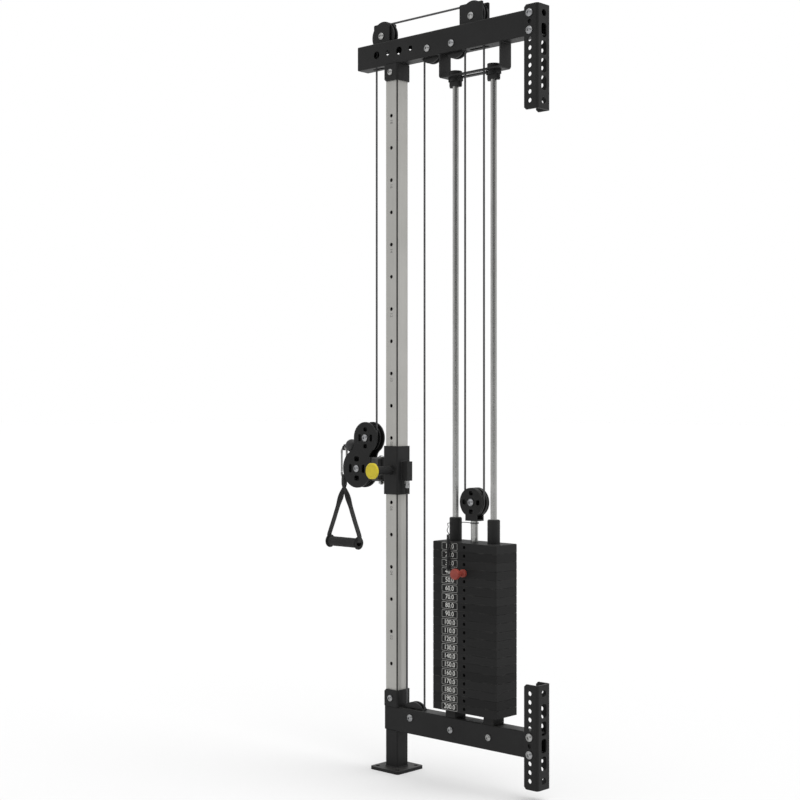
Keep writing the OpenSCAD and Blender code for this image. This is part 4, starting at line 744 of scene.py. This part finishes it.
def fixed_cable():
    """Stretches that stay put: over the two top pulleys, and through the arm down to the lower pulley."""
    end = REAR_TOP + [REAR_TOP_R, 0, INNER_REAR[2] - REAR_TOP[2]]
    over = rope("cable_over_top", np.vstack([
        arc(FRONT_TOP, FRONT_TOP_R, 180, 90), arc(REAR_TOP, REAR_TOP_R, 90, 0), [end]]))
    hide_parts("top_cable_run")
    inside = rope("cable_inside", np.vstack([
        arc(INNER_REAR, INNER_REAR_R, 0, 90), arc(INNER_FRONT, INNER_FRONT_R, 90, 180),
        arc(LOWER, LOWER_R, 360, 180)]))
    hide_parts("inner_cable_run")
    for piece in (over, inside):
        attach(piece, "frame")


def moving_cable():
    """Straight stretches that grow and shrink with the trolley and the stack.

    Those that only change length have a ring at each end and none between."""
    front_x = FRONT_TOP[0] - FRONT_TOP_R
    seam = np.array([front_x, 0, BLOCK_TOP_Z + LEAD_IN])
    top = np.array([front_x, 0, FRONT_TOP[2]])
    low = np.array([front_x, 0, BLOCK_TOP_Z])
    long_run = rope("cable_front_drop", straight(top, seam))
    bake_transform(long_run)
    lead_in = rope("cable_front_end", straight(seam, low, 24))
    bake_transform(lead_in)
    for piece in (long_run, lead_in):
        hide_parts("front_cable_run")
    back_x = LOWER[0] - LOWER_R
    foot = np.array([back_x, 0, LOWER[2]])
    ferrule = np.array([back_x, 0, corners("return_cable_run")[1][2]])
    back_run = rope("cable_return", straight(foot, ferrule))
    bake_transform(back_run)
    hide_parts("return_cable_run")
    for name, sign in (("cable_stack_front", -1), ("cable_stack_rear", 1)):
        high = np.array([STACK_WHEEL[0] + sign * STACK_R, 0, INNER_REAR[2]])
        deep = np.array([STACK_WHEEL[0] + sign * STACK_R, 0, STACK_WHEEL[2]])
        run = rope(name, straight(high, deep))
        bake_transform(run)
        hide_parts("stack_cable_runs")
    bend = rope("cable_stack_bend", arc(STACK_WHEEL, STACK_R, 180, 360))
    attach(bend, "lift")
    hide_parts("stack_cable_bend")


def block_cable():
    """Round the swivel block's upper pulley, then straight to the ball stop."""
    ball_low, ball_high = corners("ball_stop")
    ball_r = (ball_high[1] - ball_low[1]) / 2
    ball = np.array([ball_high[0] - ball_r, 0, BALL_Z])
    apart = ball - BLOCK_UPPER
    tangent = math.asin(BLOCK_UPPER_R / np.linalg.norm(apart))
    lead_angle = math.degrees(tangent - math.atan2(-apart[2], -apart[0]))
    wrap = np.vstack([[[BLOCK_UPPER[0] + BLOCK_UPPER_R, 0, BLOCK_TOP_Z]],
                      arc(BLOCK_UPPER, BLOCK_UPPER_R, 0, -90 - lead_angle)])
    wrapped = rope("cable_block_wrap", wrap)
    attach(wrapped, "block")
    leaves = wrap[-1]
    toward = (ball - leaves) / np.linalg.norm(ball - leaves)
    meets = ball - toward * (ball_r - BALL_ENTRY)
    lead = rope("cable_to_ball", straight(leaves, meets, 24))
    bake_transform(lead)
    for piece in (wrapped, lead):
        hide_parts("block_cable")


# The stirrup handle, with heights from the grip's axis

STRAP_W = 19 * MM
STRAP_T = 2.8 * MM
STRAP_CORNER = 0.9 * MM
STRAP_BEND_R = 2.4 * MM
NECK_W = 12.4 * MM
NECK_LOOP_R = 5.3 * MM
BORE_LAY = 2.5 * MM
CORE_LOW, CORE_HIGH = corners("handle_core")
HANDLE_AXIS = middle("handle_core")
CAP_R = (CORE_HIGH[2] - CORE_LOW[2]) / 2
STRAP_X = (CORE_HIGH[0] - CORE_LOW[0]) / 2 + STRAP_T / 2 + 0.15 * MM
STRAP_TOP = corners("handle_straps")[1][2] - HANDLE_AXIS[2]
# The strap's free stretch, straight to where it starts to turn into the neck
STRAP_ROUTE = np.array([[-48.4, 0, 71], [-27.4, 0, 121], [-13.2, 0.3, 155], [-6, 1.8, 172],
                        [-1.2, 4.2, 183], [0, 4.9, 194]]) * MM
TWIST_FOOT, TWIST_L = 112 * MM, 74 * MM
TAPER_FOOT, TAPER_L = 140 * MM, 45 * MM
WRAP_W, WRAP_T, WRAP_CORNER = 14.4 * MM, 13.8 * MM, 2.2 * MM
WRAP_HEIGHTS = np.array([186.0, 188.0, 198.0, 208.0, 209.5]) * MM
WRAP_SWELL = np.array([0.93, 1.0, 1.03, 1.0, 0.93])
STITCH_FOOT = 190.5 * MM
STITCH_ROWS = 5
STITCH_ROW_STEP = 3.6 * MM
STITCHES_A_ROW = 4
STITCH_STEP = 2.9 * MM
STITCH_L = 1.8 * MM
STITCH_R = 0.35 * MM
STITCH_OUT = 7.05 * MM


def strap_line():
    """Half of the webbing's middle line: out along the bore, over the cap and up to the neck's crown."""
    crown = STRAP_TOP - STRAP_T / 2 - NECK_LOOP_R
    t = np.linspace(np.pi / 2, 0, 7)
    bend = np.stack([-STRAP_X + STRAP_BEND_R - STRAP_BEND_R * np.cos(t), np.zeros(7),
                     BORE_LAY + STRAP_BEND_R - STRAP_BEND_R * np.sin(t)], -1)
    past_cap = [[-STRAP_X, 0, BORE_LAY + 4 * MM], [-STRAP_X, 0, CAP_R - 2 * MM],
                [-STRAP_X + 1.6 * MM, 0, CAP_R + 6 * MM]]
    out = flowing(np.vstack([past_cap, STRAP_ROUTE, [[0, NECK_LOOP_R, crown]]]), 9)
    over = np.linspace(0, np.pi / 2, 8)[1:]
    top = np.stack([np.zeros(7), NECK_LOOP_R * np.cos(over), crown + NECK_LOOP_R * np.sin(over)], -1)
    bore = np.array([[-0.3 * MM, 0, BORE_LAY], [-40 * MM, 0, BORE_LAY]])
    return np.vstack([bore, bend, out, top])


def handle_webbing():
    """A flat band carried round the closed loop: its width turns a quarter under the neck and draws in."""
    half = strap_line()
    twist = eased((half[:, 2] - TWIST_FOOT) / TWIST_L) * np.pi / 2
    side = np.stack([np.sin(twist), np.cos(twist), np.zeros_like(twist)], -1)
    width = 1 - (1 - NECK_W / STRAP_W) * eased((half[:, 2] - TAPER_FOOT) / TAPER_L)
    spin = np.array([-1.0, -1.0, 1.0])
    line = np.vstack([half, (half * spin)[-2::-1]])
    sides = np.vstack([side, -(side * spin)[-2::-1]])
    widths = np.concatenate([width, width[-2::-1]])
    rings = carried(line + HANDLE_AXIS, band_outline(STRAP_W, STRAP_T, STRAP_CORNER), sides,
                    np.stack([widths, np.ones_like(widths)], -1), closed=True)
    band = dressed(skin("handle_webbing", rings, loop=True), WEBBING)
    wrap_path = np.column_stack([np.zeros((len(WRAP_HEIGHTS), 2)), WRAP_HEIGHTS]) + HANDLE_AXIS
    wrap_outline = band_outline(WRAP_W, WRAP_T, WRAP_CORNER, per_corner=6)
    wrap_rings = carried(wrap_path, wrap_outline, (1.0, 0.0, 0.0), WRAP_SWELL)
    wrap = dressed(skin("handle_neck_wrap", wrap_rings), WEBBING)
    for piece in (band, wrap):
        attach(piece, "handle")
        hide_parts("handle_straps")


def neck_stitches():
    """Rows of sewing on the neck wrap: short rounded bars, in rows on each broad face."""
    thickness = np.array([0.4, 1.0, 1.0, 0.4])
    slant = np.array([STITCH_L, 0, 0.5 * MM])
    bars = []
    for face in (-1, 1):
        for row in range(STITCH_ROWS):
            for step in range(STITCHES_A_ROW):
                across = (step - (STITCHES_A_ROW - 1) / 2) * STITCH_STEP - STITCH_L / 2
                start = np.array([across, face * STITCH_OUT, STITCH_FOOT + row * STITCH_ROW_STEP])
                path = straight(start, start + slant, 4) + HANDLE_AXIS
                bars.append(skin("stitch", carried(path, round_outline(STITCH_R, 6), Y_AXIS, thickness)))
    sewing = joined("neck_stitches", bars, THREAD)
    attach(sewing, "handle")
    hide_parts("handle_straps")


GRIP_LOW, GRIP_HIGH = corners("handle_grip")
GRIP_BORE_R = 13.15 * MM
GRIP_SKIN = 0.3 * MM
GROOVE_PITCH = 5.4 * MM
GROOVE_DEPTH = 0.9 * MM
PLAIN_END_L = 8 * MM
END_ROUND_R = 2 * MM
DENT_DEPTH = 0.25 * MM
GRIP_RINGS = 420
GRIP_SIDES = 64


def foam_grip():
    """A foam sleeve turned about its axis: radius = its own - round grooves - rounded ends + soft dents.

    A groove is 1 - |sin|^0.5 of the distance along it, and a dent the product of two slow sines."""
    half = (GRIP_HIGH[0] - GRIP_LOW[0]) / 2
    radius = (GRIP_HIGH[2] - GRIP_LOW[2]) / 2
    x = np.linspace(-half, half, GRIP_RINGS)
    groove = 1 - np.abs(np.sin(np.pi * x / GROOVE_PITCH)) ** 0.5
    ribbed = np.where(np.abs(x) < half - PLAIN_END_L, groove * GROOVE_DEPTH, 0.0)
    past = np.clip(np.abs(x) - half + END_ROUND_R, 0, None) / END_ROUND_R
    ends = END_ROUND_R * (1 - np.sqrt(np.clip(1 - past**2, 0, 1)))
    turn = np.linspace(0, 2 * np.pi, GRIP_SIDES, endpoint=False)
    grid_x, grid_t = np.meshgrid(x, turn, indexing="ij")
    dents = DENT_DEPTH * (np.sin(3 * grid_t + 90 * grid_x) * np.sin(70 * grid_x + 1.3) - 1)
    r = radius - GRIP_SKIN - ribbed[:, None] - ends[:, None] + dents
    outer = np.stack([grid_x, r * np.cos(grid_t), r * np.sin(grid_t)], -1)
    circle = np.column_stack([np.zeros(GRIP_SIDES), round_outline(GRIP_BORE_R, GRIP_SIDES)])
    lips = np.stack([circle + [half, 0, 0], circle - [half, 0, 0]])
    rings = np.concatenate([outer, lips]) + HANDLE_AXIS
    grip = dressed(skin("foam_grip", rings, loop=True), FOAM)
    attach(grip, "grip")
    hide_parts("handle_grip")


# Printed numbers

LABEL_W = 61.5 * MM
LABEL_H = 21.5 * MM
LABEL_X = 264.4 * MM
LABEL_LINE = 1.1 * MM
LABEL_CORNER = 1.5 * MM
LABEL_DIGITS = 20 * MM
PLATE_WEIGHT = 10
INK_T = 0.12 * MM
FIRST_HOLE_RISE = 134.1 * MM
HOLE_PITCH = 101.6 * MM
HOLE_COUNT = 18
MARK_DROP = 19 * MM
MARK_DIGITS = 15 * MM


def lettered(text, size, centre, upright=True):
    """Generic digits as a thin mesh on a face that looks along -Y, upright or read downwards."""
    curve = bpy.data.curves.new("digits", "FONT")
    curve.body = text
    curve.size = size
    curve.align_x = "CENTER"
    curve.align_y = "CENTER"
    curve.extrude = INK_T
    curve.resolution_u = 3
    source = added("digits", curve)
    bpy.context.view_layer.update()
    mesh = bpy.data.meshes.new_from_object(source)
    bpy.data.objects.remove(source)
    co = points_of(mesh)
    across, up = (co[:, 0], co[:, 1]) if upright else (co[:, 1], -co[:, 0])
    stood = np.stack([across, -co[:, 2], up], -1) + centre
    mesh.vertices.foreach_set("co", stood.astype(np.float32).ravel())
    mesh.update()
    return added("digits", mesh)


def label_frame(centre):
    """The printed line round a label: a thin flat band carried round a rectangle with round corners."""
    edge = band_outline(LABEL_W - LABEL_LINE, LABEL_H - LABEL_LINE, LABEL_CORNER, per_corner=5)
    path = np.column_stack([edge[:, 0], np.zeros(len(edge)), edge[:, 1]]) + centre
    band = band_outline(2 * INK_T, LABEL_LINE, 0.05 * MM, per_corner=2)
    return skin("label_line", carried(path, band, Y_AXIS, closed=True), loop=True)


def plate_labels():
    """A frame and a number on the front edge of every plate, counted from the top."""
    groups = {"head_label": ("lift", range(0, 1)), "lifted_labels": ("lift", range(1, LIFTED)),
              "resting_labels": ("frame", range(LIFTED, PLATE_COUNT))}
    for name, (body, members) in groups.items():
        centres = [np.array([LABEL_X, HEAD_LOW[1], HEAD_HIGH[2] - (i + 0.5) * PLATE_STEP]) for i in members]
        lines = joined(name + "_lines", [label_frame(centre) for centre in centres], LINE_INK)
        digits = joined(name + "_numbers", [
            lettered(f"{PLATE_WEIGHT * (i + 1)}.0", LABEL_DIGITS, centre)
            for i, centre in zip(members, centres)], LABEL_INK)
        for piece in (lines, digits):
            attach(piece, body)


def column_numbers():
    """Grey numbers under every second height hole on the column's selector face."""
    marks = []
    for i in range(1, HOLE_COUNT, 2):
        z = COLUMN_LOW[2] + FIRST_HOLE_RISE + i * HOLE_PITCH - MARK_DROP
        marks.append(lettered(f"{i + 1:02d}", MARK_DIGITS, np.array([0.0, COLUMN_LOW[1], z]), upright=False))
    piece = joined("column_numbers", marks, MARK_INK)
    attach(piece, "frame")


# Weld beads under the black coat

RIPPLE_PITCH = 2.2 * MM
BEAD_STEP = 0.6 * MM
TUBE_CORNER = 4.5 * MM
WEB_HALF_H = 30 * MM
WEB_HALF_T = 4 * MM
CHEEK_CORNER = 2 * MM
HANGER_CORNER = 3 * MM


def bead(path, radius, closed=False):
    """A weld: a circle carried along the seam, its size rippling as 1 + 0.1 |sin| of the distance."""
    along = lengths_along(path, False)
    ripple = 1 + 0.1 * np.abs(np.sin(np.pi * along / RIPPLE_PITCH))
    side = np.cross(directions(path, closed), [0.37, 0.21, 0.9])
    return skin("bead", carried(path, round_outline(radius, 8), side, ripple, closed), loop=closed)


def spaced(corner_points, closed=False):
    """Points at an even distance along a polyline."""
    line = np.vstack([corner_points, corner_points[:1]]) if closed else np.asarray(corner_points)
    run = lengths_along(line, False)
    wanted = np.arange(0, run[-1], BEAD_STEP)
    return np.stack([np.interp(wanted, run, line[:, n]) for n in range(3)], -1)


def tube_seam(centre, width, depth, corner):
    """The line round a rounded rectangular tube where it meets a plate."""
    edge = band_outline(width, depth, corner, per_corner=6)
    return spaced(np.column_stack([edge, np.zeros(len(edge))]) + centre, True)


CLAMP_DROP = 12.5 * MM
CLAMP_W, CLAMP_D, CLAMP_CORNER = 42 * MM, 21 * MM, 8 * MM
CLAMP_FOOT = 0.93
CLAMP_H = 15.5 * MM
CLAMP_EDGE = 1.5 * MM
CLAMP_CLEAR = 0.2 * MM


def clamp_bodies():
    """The lower half of each clamp under the hanger: a rounded block with a bore, as a stack of rings."""
    low, high = corners("guide_rods")
    rod_r = (high[1] - low[1]) / 2
    top = corners("rod_hanger")[0][2] - CLAMP_DROP
    outer = band_outline(CLAMP_W, CLAMP_D, CLAMP_CORNER, per_corner=8)
    turned = np.arctan2(outer[:, 1], outer[:, 0])
    bore = (rod_r + CLAMP_CLEAR) * np.stack([np.cos(turned), np.sin(turned)], -1)
    foot = outer * CLAMP_FOOT
    levels = [(foot, CLAMP_H), (outer, CLAMP_H - CLAMP_EDGE), (outer, 0.0), (bore, 0.0), (bore, CLAMP_H)]
    rings = np.stack([np.column_stack([ring, np.full(len(ring), top - drop)]) for ring, drop in levels])
    bodies = [skin("clamp_body", rings + [x, 0, 0], loop=True) for x in (low[0] + rod_r, high[0] - rod_r)]
    piece = joined("rod_clamp_bodies", bodies, BLACK)
    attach(piece, "frame")


def frame_welds():
    """Seams of the post on the foot plate, of the pulley cheeks and of the rod hanger."""
    foot_top = corners("foot_plate")[1][2]
    side = COLUMN_HIGH[0] - COLUMN_LOW[0]
    post_foot = tube_seam(np.array([0, 0, foot_top]), side, side, TUBE_CORNER)
    seams = [bead(post_foot, radius=2.4 * MM, closed=True)]
    for node in ("front_pulley_bracket", "rear_pulley_bracket"):
        low, high = corners(node)
        for y in (low[1], high[1]):
            foot = spaced([[low[0] + CHEEK_CORNER, y, low[2]], [high[0] - CHEEK_CORNER, y, low[2]]])
            seams.append(bead(foot, radius=2 * MM))
    low, high = corners("rod_hanger")
    for x in (low[0], high[0]):
        end = spaced([[x, low[1] + HANGER_CORNER, high[2]], [x, high[1] - HANGER_CORNER, high[2]]])
        seams.append(bead(end, radius=2.2 * MM))
    piece = joined("frame_welds", seams, BLACK)
    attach(piece, "frame")


def trolley_welds():
    """Seams of the hinge web and of the cable post on the trolley's sleeve."""
    low, high = corners("trolley_sleeve")
    half = (high[1] - low[1]) / 2
    web_low, web_high = REST_Z - WEB_HALF_H, REST_Z + WEB_HALF_H
    seams = [bead(spaced([[-half, y, web_low], [-half, y, web_high]]), radius=1.9 * MM)
             for y in (-WEB_HALF_T, WEB_HALF_T)]
    anchor_low, anchor_high = corners("cable_anchor")
    loop = np.array([[half, anchor_low[1], anchor_low[2]], [half, anchor_high[1], anchor_low[2]],
                     [half, anchor_high[1], anchor_high[2]], [half, anchor_low[1], anchor_high[2]]])
    seams.append(bead(spaced(loop, closed=True), radius=1.8 * MM, closed=True))
    piece = joined("trolley_welds", seams, BLACK)
    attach(piece, "trolley")


def ferrule_sleeve():
    """A black sleeve shrunk over the return cable's ferrule, its ends drawn in."""
    height = corners("cable_end_fitting")[0][2] + np.array([-1.5, 0, 5, 12, 15.8, 16.4]) * MM
    radius = np.array([3.2, 4.9, 5.2, 5.4, 5.4, 4.9])
    path = np.column_stack([np.full(6, middle("cable_end_fitting")[0]), np.zeros(6), height])
    rings = carried(path, round_outline(MM, 24), Y_AXIS, radius)
    sleeve = dressed(skin("ferrule_sleeve", rings), RUBBER)
    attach(sleeve, "trolley")


# Studio: levels are shares of white, and the lamp's tilt and turn are in degrees

FLOOR_HALF = 60.0
FLOOR_PAPER = 0.73
FLOOR_GLOW = 0.3
SKY_LEVEL = 0.74
DIM_SIDE = (0.683, -0.730, 0.0)
DIM_LEVEL = 0.1
LAMP_LEVEL = 2.2
LAMP_SPREAD = 50
LAMP_TILT = 24
LAMP_TURN = 106


def paper_floor():
    """A floor of white paper that glows a little to the camera, so that it meets the sky softly."""
    floor_mesh = bpy.data.meshes.new("floor")
    floor_corners = [(FLOOR_HALF * x, FLOOR_HALF * y, 0) for x, y in ((-1, -1), (1, -1), (1, 1), (-1, 1))]
    floor_mesh.from_pydata(floor_corners, [], [(0, 1, 2, 3)])
    floor = added("floor", floor_mesh)
    paper = bpy.data.materials.new("floor_paper")
    tree = blank_tree(paper)
    matt = put(tree, "BsdfDiffuse", {"Color": (FLOOR_PAPER, FLOOR_PAPER, FLOOR_PAPER, 1)})
    glow = put(tree, "Emission", {"Color": (1, 1, 1, 1), "Strength": 1.0})
    rays = put(tree, "LightPath").outputs
    seen = worked(tree, "MAXIMUM", rays["Is Camera Ray"], rays["Is Transmission Ray"])
    share = worked(tree, "MULTIPLY", seen, FLOOR_GLOW)
    mix = put(tree, "MixShader", {0: share, 1: matt.outputs[0], 2: glow.outputs[0]})
    tree.links.new(mix.outputs[0], put(tree, "OutputMaterial").inputs["Surface"])
    floor_mesh.materials.append(paper)


def white_sky():
    """A sky that is white to the camera and lights softly all round.

    Metal mirrors the white sky too, except for the dim half of the room that the selector side faces."""
    world = bpy.data.worlds.new("studio")
    bpy.context.scene.world = world
    tree = blank_tree(world)
    rays = put(tree, "LightPath").outputs
    towards = put(tree, "VectorMath", {0: put(tree, "TexCoord").outputs["Generated"], 1: DIM_SIDE},
                  operation="DOT_PRODUCT").outputs["Value"]
    sides = spread(tree, towards, 0.25, 0.95, 1.0, DIM_LEVEL)
    mirrored = worked(tree, "MULTIPLY", rays["Is Glossy Ray"], sides)
    plain = worked(tree, "MAXIMUM", rays["Is Camera Ray"], rays["Is Transmission Ray"])
    others = worked(tree, "SUBTRACT", 1.0, worked(tree, "ADD", plain, rays["Is Glossy Ray"]))
    soft = worked(tree, "MULTIPLY", others, SKY_LEVEL)
    level = worked(tree, "ADD", worked(tree, "ADD", plain, mirrored), soft)
    sky = put(tree, "Background", {"Color": (1, 1, 1, 1), "Strength": level})
    tree.links.new(sky.outputs[0], put(tree, "OutputWorld").inputs["Surface"])


def broad_lamp():
    """One broad lamp from the wall side."""
    lamp = bpy.data.lights.new("broad_lamp", "SUN")
    lamp.energy = LAMP_LEVEL
    lamp.angle = math.radians(LAMP_SPREAD)
    sun = added("broad_lamp", lamp)
    sun.rotation_euler = (math.radians(LAMP_TILT), 0, math.radians(LAMP_TURN))


bpy.context.scene.view_settings.view_transform = "Standard"
photo_camera()
selector_cord()
dress_cad()
fixed_cable()
moving_cable()
block_cable()
handle_webbing()
neck_stitches()
foam_grip()
plate_labels()
column_numbers()
clamp_bodies()
frame_welds()
trolley_welds()
ferrule_sleeve()
paper_floor()
white_sky()
broad_lamp()
